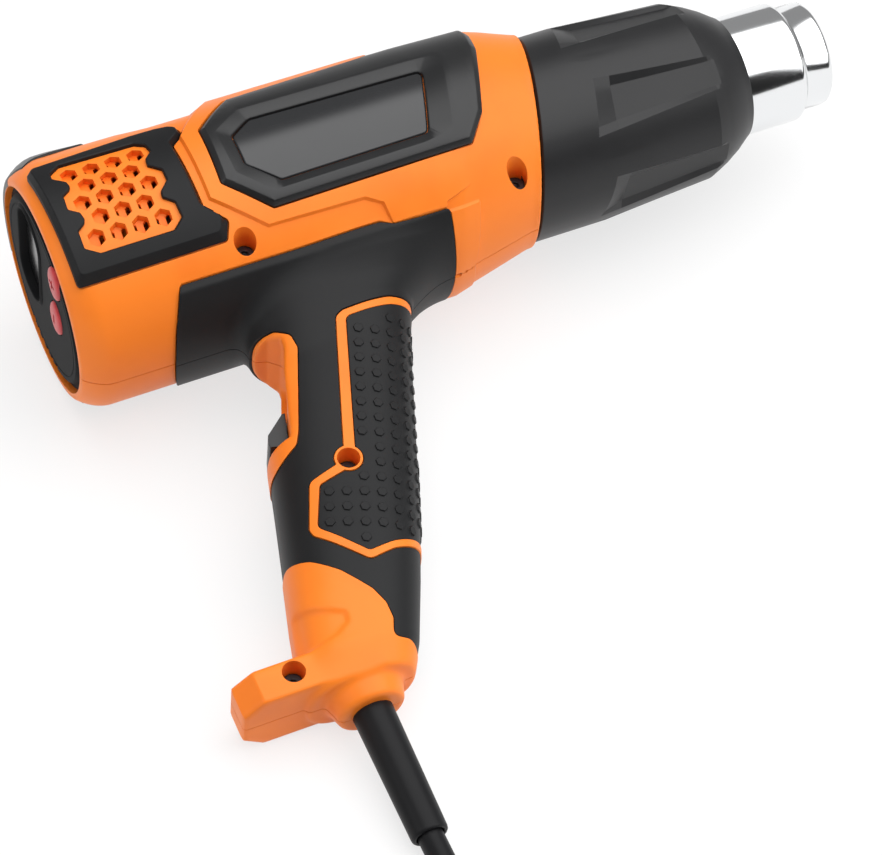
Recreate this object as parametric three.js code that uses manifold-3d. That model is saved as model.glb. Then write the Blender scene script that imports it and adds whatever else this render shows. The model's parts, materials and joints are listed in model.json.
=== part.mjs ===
// A hot air tool: a pistol-shaped heat gun with a two-part housing, soft overmoulded grip, fluted
// front sleeve, stepped steel nozzle, thumb switch, rear display with two buttons, and its supply cord.
// Units are millimetres. In the tool's own frame +X runs along the barrel to the nozzle with x = 0 at
// the rear rim, +Y points to the top of the tool and +Z to its right side. The whole tool lies on its
// left side, tilted until its left panel and the wide end of its handle meet the floor.

import * as THREE from 'three';
import { mergeVertices } from 'three/addons/utils/BufferGeometryUtils.js';
import Module from 'manifold-3d';

const wasm = await Module();
wasm.setup();

// Driving dimensions

const fit = 0.3;                    // running and mating gap between neighbours
const seam = 0.15;                  // half of the gap between the two housing halves
const skin = 1.5;                   // thickness of the soft overmould
const shellDepth = 3.3;             // housing's inner surface, below the tool's surface
const roundSegments = 32;           // facets round the barrel
const slack = 0.1;                  // how far a dropped edge may lie off its faces
const reach = 70;                   // how far a cutting prism reaches sideways, past every surface

const barrelRadius = 40.3;
const collarRadius = 34.6;          // housing front, where the sleeve starts
const rearRimRadius = 35.6;
const rearRound = 10;               // length over which the rear end rounds in
const taperStart = 127;             // barrel narrows to the collar from here ...
const taperEnd = 152;               // ... to here
const collarX = 164.4;              // housing front edge on the axis
const rake = 0.27;                  // slope dx/dy of the slanted collar edge

const handleEnd = [-158, 21.5, 60.4, 16];   // the station that touches the floor when the tool lies down
const handleStations = [
  // height y, rear edge x, front edge x, half width
  [-22, 37, 123.5, 24],
  [-36, 38, 121, 22],
  [-42, 44, 112, 20.5],
  [-48, 47.5, 104.5, 19.5],
  [-60, 48, 99.5, 18.5],
  [-85.5, 41, 90, 18],
  [-104, 36, 83, 18],
  [-124, 30.5, 75.3, 18],
  [-140, 26, 68.5, 17.5],
  handleEnd,
  [-167, 21, 55, 13],
];
const handlePower = 2.6;            // roundness of the handle's section

const footEndX = 1.5;
const footFrontX = 46;
const footTop = -154.3;
const footBottom = -165.5;
const footHalf = 13;
const footEndHalf = 7;              // half width of the end face, between its chamfers
const footChamfer = 6.5;

const cordX = 38.7;                 // the cord leaves the handle's end here, along -Y
const cupTop = -156;
const cupBottom = -176;
const cupTopRadius = 15.5;
const cupBottomRadius = 9.8;

const cordRadius = 4;
const guardRootRadius = 6.3;
const guardTipRadius = 5.7;
const guardLength = 43;
const guardLip = 0.6;               // bevel round the guard's mouth
const guardRoot = -172.5;           // the guard's lengths are measured from here
const guardFlangeRadius = 8.4;
const guardFlange = 3;
const guardInside = 4;              // flange's top face above the guard's root
const mouthDepth = 2;               // the handle's cord ends this far inside the guard's mouth

const nozzleTip = 269;
const nozzleStep = 258.5;
const nozzleRadius = 20;
const tipRadius = 17.5;
const steel = 0.9;
const nozzleFlangeRadius = 26;
const sleeveFront = 238;
const sleeveConeStart = 224;
const sleeveRearRadius = 34.2;
const sleeveConeRadius = 30.7;
const sleeveRimRadius = 21.6;
const sleeveWall = 3.2;
const neckLength = 7;
const fluteCount = 6;
const fluteStart = 180;
const fluteRamp = 5;
const fluteHalfAngle = THREE.MathUtils.degToRad(14.5);
const fluteDepth = 1.1;
const flangeX = 160;
const flangeThickness = 2.5;

const motorRadius = 18;
const motorRear = 36;
const motorFront = 74;
const shaftRadius = 2.5;
const shaftRear = 32;
const fanRear = 84;
const fanDepth = 12;
const fanRadius = 31;
const fanBlades = 9;
const mountThickness = 2;

const grilleDepth = 3.7;            // the grille's outer face, below the barrel's surface
const grilleThickness = 2.4;
const grilleMargin = 1.2;           // the grille reaches this far behind its opening's edge
const cellPitch = 7.3;
const cellAcross = 5.5;             // size of a honeycomb hole across its flats
const cellRows = [4, 3, 4, 3, 4];
const grilleX = 26;
const grilleY = 3.2;

const buttonTravel = 0.9;
const switchTravel = 9;

// A point on the barrel's side: x, y and the half width there
function onBarrel(x, y) {
  const taper = THREE.MathUtils.clamp((x - taperStart) / (taperEnd - taperStart), 0, 1);
  const radius = barrelRadius + taper * (collarRadius - barrelRadius);
  return [x, y, Math.sqrt(radius * radius - y * y)];
}

const screwHoleRadius = 3.5;
const bossRadius = 4.5;
const shankRadius = 1.4;
const headRadius = 3;
const headHeight = 2.2;
const headDepth = 7;                // depth of a screw's head below the surface over it
const screws = {
  // x, y, half width of the housing there
  screw_rear: onBarrel(57.2, -25.2),
  screw_front: onBarrel(148.6, -26),
  screw_handle: [60.6, -100.6, 18],
  screw_foot: [19.4, -158.9, 13],
};

const freeLength = 75;              // straight run from the guard's mouth to the coil
const coilLead = 3;                 // straight start of the coil
const coilGap = 1.5;                // gap between neighbouring turns
const coilOuter = 60.6;             // centre-line radius of the outermost turn
const coilTurnsPerLayer = 3;
const loopSteps = 22;

const plugRadius = 14;
const plugLength = 42;
const plugAway = 36;                // from the coil's end to the plug
const plugBore = 12;
const pinSpacing = 19;
const pinRadius = 2.4;
const pinLength = 19;
const pinSocket = 10;

// Colours and surfaces

const paints = {
  orange: { color: 0xf98a2d, roughness: 0.45, metalness: 0 },
  rubber: { color: 0x2f3032, roughness: 0.8, metalness: 0 },
  black: { color: 0x26272a, roughness: 0.5, metalness: 0 },
  gloss: { color: 0x3b3d40, roughness: 0.2, metalness: 0 },
  red: { color: 0xd84a50, roughness: 0.5, metalness: 0 },
  chrome: { color: 0xe4e6e8, roughness: 0.08, metalness: 1 },
  steel: { color: 0xa8abad, roughness: 0.35, metalness: 1 },
  darkSteel: { color: 0x1d1e20, roughness: 0.4, metalness: 0.8 },
  brass: { color: 0xc9a557, roughness: 0.3, metalness: 1 },
  mica: { color: 0xc8b894, roughness: 0.7, metalness: 0 },
  ceramic: { color: 0xe9e4d8, roughness: 0.8, metalness: 0 },
  board: { color: 0x1f6b3a, roughness: 0.5, metalness: 0 },
  wireRed: { color: 0xb02a26, roughness: 0.5, metalness: 0 },
  wireBlue: { color: 0x2a57b0, roughness: 0.5, metalness: 0 },
  nylon: { color: 0xd9d9d4, roughness: 0.5, metalness: 0 },
};

// Solids

function volumeOf(position, index) {
  const a = new THREE.Vector3();
  const b = new THREE.Vector3();
  const c = new THREE.Vector3();
  let sum = 0;
  for (let i = 0; i < index.length; i += 3) {
    a.fromArray(position, index[i] * 3);
    b.fromArray(position, index[i + 1] * 3);
    c.fromArray(position, index[i + 2] * 3);
    sum += a.dot(b.cross(c)) / 6;
  }
  return sum;
}

function solid(geometry) {
  const bare = geometry.clone();
  bare.deleteAttribute('normal');
  bare.deleteAttribute('uv');
  const merged = mergeVertices(bare, 1e-4);
  const position = merged.attributes.position.array;
  const source = merged.index.array;
  const index = [];
  for (let i = 0; i < source.length; i += 3) {
    const [a, b, c] = [source[i], source[i + 1], source[i + 2]];
    if (a !== b && b !== c && c !== a) index.push(a, b, c);
  }
  if (volumeOf(position, index) < 0) {
    for (let i = 0; i < index.length; i += 3) [index[i], index[i + 1]] = [index[i + 1], index[i]];
  }
  return new wasm.Manifold(new wasm.Mesh({
    numProp: 3,
    vertProperties: new Float32Array(position),
    triVerts: new Uint32Array(index),
  }));
}

function geometryOf(body) {
  const mesh = body.getMesh();
  const geometry = new THREE.BufferGeometry();
  geometry.setAttribute('position', new THREE.BufferAttribute(new Float32Array(mesh.vertProperties), 3));
  geometry.setIndex(new THREE.BufferAttribute(new Uint32Array(mesh.triVerts), 1));
  return geometry;
}

// The one body a piece consists of, without the slivers that cutting leaves and without needless edges
function tidied(body) {
  const bodies = body.asOriginal().simplify(slack).decompose();
  return bodies.reduce((largest, other) => (other.volume() > largest.volume() ? other : largest));
}

function join(...bodies) {
  return bodies.reduce((sum, body) => sum.add(body));
}

function cut(body, ...tools) {
  return tools.reduce((rest, tool) => rest.subtract(tool), body);
}

// A solid of revolution about the barrel's axis, from points [x, radius].
function turned(points, segments = 48) {
  const profile = points.map(([x, radius]) => new THREE.Vector2(radius, x));
  const lathe = new THREE.LatheGeometry(profile, segments);
  lathe.rotateZ(-Math.PI / 2);
  return lathe;
}

function rod(x0, x1, radius, segments = 24) {
  return solid(turned([[x0, 0], [x0, radius], [x1, radius], [x1, 0]], segments));
}

function tube(x0, x1, inner, outer, segments = 48) {
  return solid(turned([[x0, inner], [x0, outer], [x1, outer], [x1, inner], [x0, inner]], segments));
}

// A cylinder along Z at (x, y), between two heights.
function post(x, y, z0, z1, radius, segments = 16) {
  const geometry = new THREE.CylinderGeometry(radius, radius, z1 - z0, segments);
  geometry.rotateX(Math.PI / 2);
  geometry.translate(x, y, (z0 + z1) / 2);
  return solid(geometry);
}

// A cylinder along X at (y, z).
function pin(x0, x1, y, z, radius, segments = 10) {
  const geometry = new THREE.CylinderGeometry(radius, radius, x1 - x0, segments);
  geometry.rotateZ(-Math.PI / 2);
  geometry.translate((x0 + x1) / 2, y, z);
  return solid(geometry);
}

function box(x0, x1, y0, y1, z0, z1) {
  const geometry = new THREE.BoxGeometry(x1 - x0, y1 - y0, z1 - z0);
  geometry.translate((x0 + x1) / 2, (y0 + y1) / 2, (z0 + z1) / 2);
  return solid(geometry);
}

// An outline in the XY plane, drawn out along Z.
function prism(points, z0, z1) {
  const shape = new THREE.Shape(points.map(([x, y]) => new THREE.Vector2(x, y)));
  const geometry = new THREE.ExtrudeGeometry(shape, { depth: z1 - z0, bevelEnabled: false });
  geometry.translate(0, 0, z0);
  return solid(geometry);
}

// A round-ended outline in the YZ plane, drawn out along X: the oval is 2 a high and 2 b wide.
function ovalAlongX(x0, x1, y, z, a, b, segments = 16) {
  const geometry = new THREE.CylinderGeometry(1, 1, x1 - x0, segments);
  geometry.scale(a, 1, b);
  geometry.rotateZ(-Math.PI / 2);
  geometry.translate((x0 + x1) / 2, y, z);
  return solid(geometry);
}

// Rings of equally many points, joined in order and closed at both ends.
function loft(rings) {
  const count = rings[0].length;
  const position = rings.flat().flatMap((p) => [p.x, p.y, p.z]);
  const index = [];
  for (let r = 0; r + 1 < rings.length; r++) {
    for (let i = 0; i < count; i++) {
      const a = r * count + i;
      const b = r * count + ((i + 1) % count);
      index.push(a, b, a + count, b, b + count, a + count);
    }
  }
  for (let i = 1; i + 1 < count; i++) {
    const last = (rings.length - 1) * count;
    index.push(0, i + 1, i, last, last + i, last + i + 1);
  }
  const geometry = new THREE.BufferGeometry();
  geometry.setAttribute('position', new THREE.Float32BufferAttribute(position, 3));
  geometry.setIndex(index);
  return solid(geometry);
}

function mirrored(body) {
  const geometry = geometryOf(body);
  geometry.scale(1, 1, -1);
  return solid(geometry);
}

// A tube along a curve, square-ended.
function wire(points, radius, steps, sides) {
  const curve = new THREE.CatmullRomCurve3(points, false, 'centripetal');
  const section = new THREE.Shape();
  for (let i = 0; i < sides; i++) {
    const angle = (i / sides) * 2 * Math.PI;
    section[i ? 'lineTo' : 'moveTo'](radius * Math.cos(angle), radius * Math.sin(angle));
  }
  section.closePath();
  return new THREE.ExtrudeGeometry(section, { steps, extrudePath: curve, bevelEnabled: false });
}

// The barrel and handle forms, optionally drawn in all round by an inset

const barrelFront = collarX + rake * reach;   // the barrel's form is drawn this far, then cut at the collar

function barrelForm(inset, x0 = 0, x1 = barrelFront) {
  const profile = [
    [x0, 0],
    [x0, rearRimRadius - inset],
    [Math.max(x0 + 0.01, 1.2), rearRimRadius + 1.2 - inset],
    [rearRound, barrelRadius - inset],
    [taperStart, barrelRadius - inset],
    [taperEnd, collarRadius - inset],
    [x1, collarRadius - inset],
    [x1, 0],
  ];
  return solid(turned(profile, roundSegments));
}

function handleRing([y, rear, front, half], inset, count = 18) {
  const a = (front - rear) / 2 - inset;
  const b = half - inset;
  const centre = (front + rear) / 2;
  const ring = [];
  for (let i = 0; i < count; i++) {
    const angle = ((i + 0.5) / count) * 2 * Math.PI;
    const c = Math.cos(angle);
    const s = Math.sin(angle);
    const x = Math.sign(c) * Math.abs(c) ** (2 / handlePower);
    const z = Math.sign(s) * Math.abs(s) ** (2 / handlePower);
    ring.push(new THREE.Vector3(centre + a * x, y, b * z));
  }
  return ring;
}

function handleForm(inset, stations = handleStations) {
  return loft(stations.map((station) => handleRing(station, inset)));
}

const scoop = [
  [25, -46.5],
  [49.5, -47],
  [53, -52],
  [54.6, -58],
  [54.5, -63.5],
  [48.5, -85.2],
  [25, -85.2],
];
const scoopSlope = new THREE.Vector3(54.5 - 48.5, 85.2 - 63.5, 0).normalize();

// Everything in front of the slanted collar edge, moved along the barrel by a gap
function aheadOfCollar(gap) {
  const top = collarX + gap + rake * reach;
  const bottom = collarX + gap - rake * reach;
  return prism([[bottom, -reach], [nozzleTip, -reach], [nozzleTip, reach], [top, reach]], -reach, reach);
}

function footForm() {
  const outline = [
    [footEndX, -footEndHalf],
    [footEndX, footEndHalf],
    [footEndX + footChamfer, footHalf],
    [footFrontX, footHalf],
    [footFrontX, -footHalf],
    [footEndX + footChamfer, -footHalf],
  ];
  const geometry = new THREE.ExtrudeGeometry(
    new THREE.Shape(outline.map(([x, z]) => new THREE.Vector2(x, z))),
    { depth: footTop - footBottom, bevelEnabled: false },
  );
  geometry.rotateX(Math.PI / 2);
  geometry.translate(0, footTop, 0);
  return solid(geometry);
}

// A frustum or cylinder along Y at (cordX, 0)
function upright(y0, y1, radius0, radius1, segments = 24) {
  const geometry = new THREE.CylinderGeometry(radius1, radius0, y1 - y0, segments);
  geometry.translate(cordX, (y0 + y1) / 2, 0);
  return solid(geometry);
}

function outerForm() {
  const shell = join(
    barrelForm(0),
    handleForm(0),
    footForm(),
    upright(cupBottom, cupTop, cupBottomRadius, cupTopRadius),
  );
  return cut(shell, aheadOfCollar(0), prism(scoop, -reach, reach));
}

function innerForm(inset) {
  return cut(
    join(barrelForm(inset, -1, barrelFront + 1), handleForm(inset, handleStations.slice(0, -1))),
    prism(offset(scoop, inset), -reach, reach),
  );
}

// Outlines on the side of the tool, in the XY plane

const bandOutline = [
  [34.2, -30.2], [99.8, -30.2], [104.2, -31.9], [122.9, -31.9], [122.4, -60], [31, -60], [31, -36.5],
];
const gripOutline = [
  [31, -36], [122.6, -36], [122.6, -60], [112, -100], [90, -150], [60, -169], [56.5, -160.4],
  [50.5, -159.3], [52.7, -154.1], [52.5, -149], [50.3, -143.7], [43.8, -134.9], [37, -128.1], [31, -124],
  [20, -124], [20, -60],
];
const padOutline = [
  [76.1, -52.9], [78.8, -51.6], [94.8, -50.3], [120, -50.8], [100, -133], [70.4, -132.6], [61.9, -133.1],
  [53.5, -134.8], [41, -121], [40.6, -118.5], [46.7, -103.6], [56.4, -101.3], [60.6, -96.4],
];
const padInner = [
  [78.8, -54.9], [80, -54], [94.8, -52.9], [121, -53.4], [101, -130.4], [71, -130.3], [62.8, -130.7],
  [54.4, -131.9], [44, -120], [43.4, -118.4], [49.2, -105.9], [57.6, -104.2], [64.4, -102], [64, -97.5],
];
const thumbOutline = [
  [25, -45], [48, -46.5], [52.4, -47.2], [57.5, -49.2], [61.3, -53.2], [61.6, -58.3],
  [50.9, -85.3], [48.6, -89.4], [40.7, -93], [25, -97],
];
const panelOutline = [
  [55.7, -8.4], [56.9, 13.3], [70.2, 25.8], [116, 27.4], [121, 30], [121.5, 60], [152.5, 60], [152.5, 22],
  [151, 13.8], [142.4, -10.6], [135.6, -18.7], [68.7, -19.6],
];
const windowOutline = [[65.6, -4.7], [65.6, 9.1], [73.2, 14.3], [131.5, 13.7], [124.9, -10.2], [73, -12]];
const ventOutline = [
  [5, 28], [46.5, 27], [53, 21.5], [52.2, 15.9], [48.8, 14.1], [48.8, -13.2], [54.3, -19.1], [52, -23.7],
  [4.8, -23.2],
];
const ridgeOutline = [
  [60, 30], [49.6, 13.9], [49.6, -12.3], [65.1, -24.7], [96.6, -25.2], [101.4, -27.2], [103, -33], [103, -45],
  [128, -45], [150, -30], [152, 60], [62, 60],
];
const grilleOutline = [
  [9.8, 16.6], [13.2, 18.2], [39.7, 16.6], [41.4, 12.9], [38.6, 8.4], [41.6, 3.9], [41, -1.2],
  [38.2, -4.6], [41.6, -8.9], [41.2, -13.5], [37.4, -16.6], [12.6, -16.6], [9, -13], [12.6, -6.9],
  [12.2, -2.8], [9.4, -0.9], [9.2, 3.8], [12.5, 6.8], [11.8, 9.2], [9.2, 11.8],
];

// An outline moved outwards by a distance: each side is shifted and the shifted sides meet again.
function offset(points, distance) {
  const area = THREE.ShapeUtils.area(points.map(([x, y]) => new THREE.Vector2(x, y)));
  const turn = Math.sign(area);
  return points.map((p, i) => {
    const before = points[(i + points.length - 1) % points.length];
    const after = points[(i + 1) % points.length];
    const d0 = new THREE.Vector2(p[0] - before[0], p[1] - before[1]).normalize();
    const d1 = new THREE.Vector2(after[0] - p[0], after[1] - p[1]).normalize();
    const n0 = new THREE.Vector2(d0.y, -d0.x).multiplyScalar(turn);
    const n1 = new THREE.Vector2(d1.y, -d1.x).multiplyScalar(turn);
    const mitre = n0.add(n1);
    const scale = (2 * distance) / mitre.lengthSq();
    return [p[0] + mitre.x * scale, p[1] + mitre.y * scale];
  });
}

function side(points, grow = 0, from = seam) {
  return prism(grow ? offset(points, grow) : points, from, reach);
}

// Right-hand shells; the left ones are their mirror images

const panelRaise = 2;
const panelDroop = 1.6;                 // the panel comes in by this much over the taper
const windowDepth = 0.6;
const ridgeRaise = 1.2;                 // the housing is thicker by this much round the side panel
const trimRaise = 2;
const trimLength = 28.5;
const trimHalfAngle = THREE.MathUtils.degToRad(28);

function coverLayer(outerRadius, innerRadius, segments = roundSegments) {
  return tube(-2, barrelFront, innerRadius, outerRadius, segments);
}

function overmouldRegion(grow) {
  const grip = join(side(bandOutline, grow), side(gripOutline, grow));
  return cut(grip, side(padOutline, -grow), side(thumbOutline, -grow));
}

const outer = outerForm();
const skinCore = innerForm(skin);
const recessCore = innerForm(skin + fit);
const shellCore = innerForm(shellDepth);

function screwHoles() {
  return Object.values(screws).map(([x, y]) => post(x, y, 0, reach, screwHoleRadius));
}

function overmould() {
  return cut(cut(outer, skinCore).intersect(overmouldRegion(-fit / 2)), ...screwHoles());
}

function texturedGrip() {
  return cut(outer, skinCore).intersect(side(padInner, -fit / 2));
}

// The panel's raised surface stays nearly level over the barrel's taper.
function panelLayer() {
  const inner = barrelRadius - skin;
  const full = barrelRadius + panelRaise;
  return solid(turned([
    [-2, inner], [-2, full], [taperStart, full], [taperEnd + 2, full - panelDroop], [taperEnd + 2, inner],
    [-2, inner],
  ], roundSegments));
}

function sidePanel() {
  return cut(panelLayer().intersect(side(panelOutline, -fit / 2)), side(windowOutline, 0, -1));
}

function panelWindow() {
  return coverLayer(barrelRadius - windowDepth, barrelRadius - skin).intersect(side(windowOutline, -fit));
}

function ventFrame() {
  const raised = coverLayer(barrelRadius + panelRaise, barrelRadius - skin);
  return cut(raised.intersect(side(ventOutline, -fit / 2)), side(grilleOutline, 0, -1));
}

// The raised part of the housing round the side panel, which runs out over the taper
function ridge() {
  const inner = collarRadius - skin;
  const raised = barrelRadius + ridgeRaise;
  return solid(turned([
    [0, inner], [0, raised], [taperStart, raised], [taperEnd, collarRadius], [taperEnd, inner], [0, inner],
  ], roundSegments)).intersect(prism(ridgeOutline, -reach, reach));
}

// The black plate over the top of the rear rim
function trimRegion(grow) {
  const low = barrelRadius * Math.cos(trimHalfAngle) - grow;
  const front = trimLength + grow;
  return prism([[-3, low], [front, low], [front, reach], [-3, reach]], -reach, reach);
}

function crownTrim() {
  const rim = rearRimRadius + trimRaise;
  const raised = solid(turned([
    [0, 0], [0, rim - 1], [1, rim], [rearRound * 0.75, barrelRadius + trimRaise],
    [trimLength, barrelRadius + trimRaise], [trimLength, 0],
  ], roundSegments));
  return cut(raised, barrelForm(skin, -1)).intersect(trimRegion(-fit / 2));
}

function honeycomb() {
  const cells = [];
  cellRows.forEach((count, row) => {
    for (let i = 0; i < count; i++) {
      const x = grilleX + (i - (count - 1) / 2) * cellPitch;
      const y = grilleY + ((cellRows.length - 1) / 2 - row) * cellPitch * Math.sqrt(3) / 2;
      cells.push([x, y]);
    }
  });
  return cells;
}

function ventGrille() {
  const outside = barrelRadius - grilleDepth;
  const plate = coverLayer(outside, outside - grilleThickness, 20)
    .intersect(side(grilleOutline, grilleMargin))
    .intersect(barrelForm(shellDepth + fit));
  const radius = cellAcross / Math.sqrt(3);
  return cut(plate, ...honeycomb().map(([x, y]) => {
    const geometry = new THREE.CylinderGeometry(radius, radius, reach, 6);
    geometry.rotateX(Math.PI / 2);
    geometry.translate(x, y, reach / 2 + seam);
    return solid(geometry);
  }));
}

// Rear cover, display and buttons. The cover closes the rear rim; +X is into the tool.

const coverRadius = 33.4;
const coverFront = 2.6;
const coverRear = -0.8;
const display = { y: 10.5, z: 1.5, height: 20, width: 41, corner: 8 };
const displayDepth = 1.6;
const displayRim = 2.5;
const buttons = {
  button_up: { y: -12.8, z: 21, halfHeight: 4.6, halfWidth: 6.6 },
  button_down: { y: -13.6, z: 3.5, halfHeight: 4.6, halfWidth: 6.6 },
};
const boardX = 9;
const boardThickness = 1.6;
const boardHalf = 24;
const boardScrews = { board_screw_upper: [24.5, 0], board_screw_lower: [-24.5, 0] };
const boardPost = 2.8;
const boardShank = 0.9;

// A rectangle with rounded corners in the YZ plane, drawn out along X
function roundedAlongX(x0, x1, { y, z, height, width, corner }, shrink = 0) {
  const h = height / 2 - shrink;
  const w = width / 2 - shrink;
  const r = Math.max(corner - shrink, 0.5);
  const shape = new THREE.Shape();
  shape.absarc(w - r, h - r, r, 0, Math.PI / 2);
  shape.absarc(r - w, h - r, r, Math.PI / 2, Math.PI);
  shape.absarc(r - w, r - h, r, Math.PI, 1.5 * Math.PI);
  shape.absarc(w - r, r - h, r, 1.5 * Math.PI, 2 * Math.PI);
  const depth = x1 - x0;
  const geometry = new THREE.ExtrudeGeometry(shape, { depth, bevelEnabled: false, curveSegments: 3 });
  geometry.rotateY(Math.PI / 2);
  geometry.translate(x0, y, z);
  return solid(geometry);
}

function rearCover() {
  let cover = rod(coverRear, coverFront, coverRadius, roundSegments);
  cover = cut(
    cover,
    roundedAlongX(coverRear - 1, coverRear + displayDepth, display),
    roundedAlongX(-2, 4, display, displayRim),
  );
  for (const { y, z, halfHeight, halfWidth } of Object.values(buttons)) {
    cover = cut(cover, ovalAlongX(-2, 4, y, z, halfHeight + fit, halfWidth + fit));
  }
  for (const [y, z] of Object.values(boardScrews)) {
    cover = join(cover, pin(coverFront - 0.5, boardX - fit, y, z, boardPost));
    cover = cut(cover, pin(coverFront, boardX, y, z, boardShank + fit));
  }
  return cover;
}

function displayWindow() {
  return roundedAlongX(coverRear + displayDepth + fit, coverFront + 1, display, displayRim + fit);
}

function displayModule() {
  return roundedAlongX(coverFront + 1 + fit, boardX - fit, display, 1);
}

function button({ y, z, halfHeight, halfWidth }) {
  return join(
    ovalAlongX(coverRear - buttonTravel - 0.3, coverFront + 0.6, y, z, halfHeight, halfWidth),
    ovalAlongX(coverFront + fit, coverFront + 1.5, y, z, halfHeight + 1.2, halfWidth + 1.2),
    pin(coverFront + 1.2, boardX - buttonTravel - fit, y, z, 1.6),
  );
}

function controlBoard() {
  const board = rod(boardX, boardX + boardThickness, boardHalf + 5.5, 28)
    .intersect(box(0, 20, -boardHalf - 4, boardHalf + 4, -boardHalf, boardHalf));
  return cut(board, ...Object.values(boardScrews).map(([y, z]) => pin(0, 20, y, z, boardShank + fit)));
}

function boardScrew([y, z]) {
  const head = boardX + boardThickness + fit;
  return join(pin(coverFront + fit + 1, head + 0.2, y, z, boardShank), pin(head, head + 1.2, y, z, 2));
}

// Motor and fan

const motorScrews = { motor_screw_upper: [11.5, 0], motor_screw_lower: [-11.5, 0] };
const motorShank = 1;

function motorCan() {
  const can = join(rod(motorRear, motorFront, motorRadius, 28), rod(motorRear - 3, motorRear + 1, 6, 16));
  return cut(can, rod(0, 90, shaftRadius + fit, 16), ...Object.values(motorScrews).map(
    ([y, z]) => pin(motorFront - 6, motorFront + 1, y, z, motorShank + fit),
  ));
}

function motorMount() {
  const x0 = motorFront + fit;
  const ring = tube(x0, x0 + mountThickness, 7, barrelRadius - shellDepth - fit, 24);
  const vents = [45, 135, 225, 315].map((degrees) => {
    const angle = THREE.MathUtils.degToRad(degrees);
    return pin(x0 - 1, x0 + mountThickness + 1, 26 * Math.cos(angle), 26 * Math.sin(angle), 7, 10);
  });
  const leadSlot = box(x0 - 1, x0 + mountThickness + 1, -38.5, -31, -9, 9);
  return cut(ring, ...vents, leadSlot, ...Object.values(motorScrews).map(
    ([y, z]) => pin(x0 - 1, x0 + mountThickness + 1, y, z, motorShank + fit),
  ));
}

function motorScrew([y, z]) {
  const head = motorFront + mountThickness + 2 * fit;
  return join(pin(motorFront - 5, head + 0.2, y, z, motorShank), pin(head, head + 1.4, y, z, 2.1));
}

function motorShaft() {
  return rod(shaftRear, fanRear + fanDepth, shaftRadius, 16);
}

function fanImpeller() {
  const back = fanRear + fanDepth;
  let fan = join(
    rod(back - 2, back, fanRadius, 28),
    rod(fanRear, back, 7, 16),
    tube(fanRear, fanRear + 1.6, fanRadius - 7, fanRadius, 28),
  );
  for (let i = 0; i < fanBlades; i++) {
    const blade = new THREE.BoxGeometry(fanDepth - 0.6, 21, 1.4);
    blade.translate(fanRear + fanDepth / 2, 0, 0);
    blade.rotateX(THREE.MathUtils.degToRad(38));
    blade.translate(0, 19, 0);
    blade.rotateX((i / fanBlades) * 2 * Math.PI);
    fan = join(fan, solid(blade));
  }
  return cut(fan.intersect(rod(fanRear - 1, back + 1, fanRadius, 28)), rod(0, 120, shaftRadius + fit, 16));
}

function airGuide() {
  const shell = 1.6;
  const mouth = barrelRadius - shellDepth - fit;
  const outlet = 20.8;
  const rear = fanRear + fanDepth + 4;
  const front = flangeX - fit - 1;
  const guide = solid(turned([
    [rear, mouth - shell], [rear, mouth], [rear + 5, mouth], [rear + 31, outlet], [front, outlet],
    [front, outlet - shell], [rear + 30.5, outlet - shell], [rear + 4.5, mouth - shell],
    [rear, mouth - shell],
  ], 24));
  return cut(guide, box(rear - 1, rear + 12, -mouth - 1, -mouth + 7, -3.5, 3.5));
}

// Sleeve, nozzle and heater

function sleeveRadiusAt(x) {
  const t = (x - collarX) / (sleeveConeStart - collarX);
  return sleeveRearRadius + t * (sleeveConeRadius - sleeveRearRadius);
}

function flute(index) {
  const angle = ((index + 0.5) / fluteCount) * 2 * Math.PI;
  const end = sleeveConeStart + 4;
  const half = (x) => sleeveRadiusAt(x) * Math.sin(fluteHalfAngle);
  const floor = (x) => sleeveRadiusAt(x) * Math.cos(fluteHalfAngle) - fluteDepth;
  const ring = (x, bottom, top) => [
    new THREE.Vector3(x, -half(x), bottom), new THREE.Vector3(x, half(x), bottom),
    new THREE.Vector3(x, half(x), top), new THREE.Vector3(x, -half(x), top),
  ];
  const body = loft([
    ring(fluteStart, sleeveRadiusAt(fluteStart) + 0.5, 45),
    ring(fluteStart + fluteRamp, floor(fluteStart + fluteRamp), 45),
    ring(end, floor(end), 45),
    ring(end + 14, floor(end) - 1, 45),
  ]);
  const geometry = geometryOf(body);
  geometry.rotateX(angle);
  return solid(geometry);
}

function heatSleeve() {
  const rimInner = nozzleRadius + fit + 0.1;
  const bore = sleeveRearRadius - sleeveWall - 1;
  const body = solid(turned([
    [120, bore], [120, sleeveRearRadius], [collarX, sleeveRearRadius],
    [sleeveConeStart, sleeveConeRadius], [sleeveConeStart + 4, sleeveConeRadius - 1.6],
    [sleeveFront, sleeveRimRadius], [sleeveFront, rimInner], [sleeveFront - 3, rimInner],
    [sleeveConeStart, sleeveConeRadius - sleeveWall], [collarX + 10, bore], [120, bore],
  ], roundSegments)).intersect(aheadOfCollar(0.6));
  const neck = tube(120, collarX + 12, bore, collarRadius - shellDepth - fit, roundSegments)
    .intersect(aheadOfCollar(-neckLength));
  const [bossX, bossY] = screws.screw_front;
  const flutes = Array.from({ length: fluteCount }, (_, i) => flute(i));
  return cut(join(body, neck), ...flutes, post(bossX, bossY, -reach, reach, bossRadius + 2 * fit));
}

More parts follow.
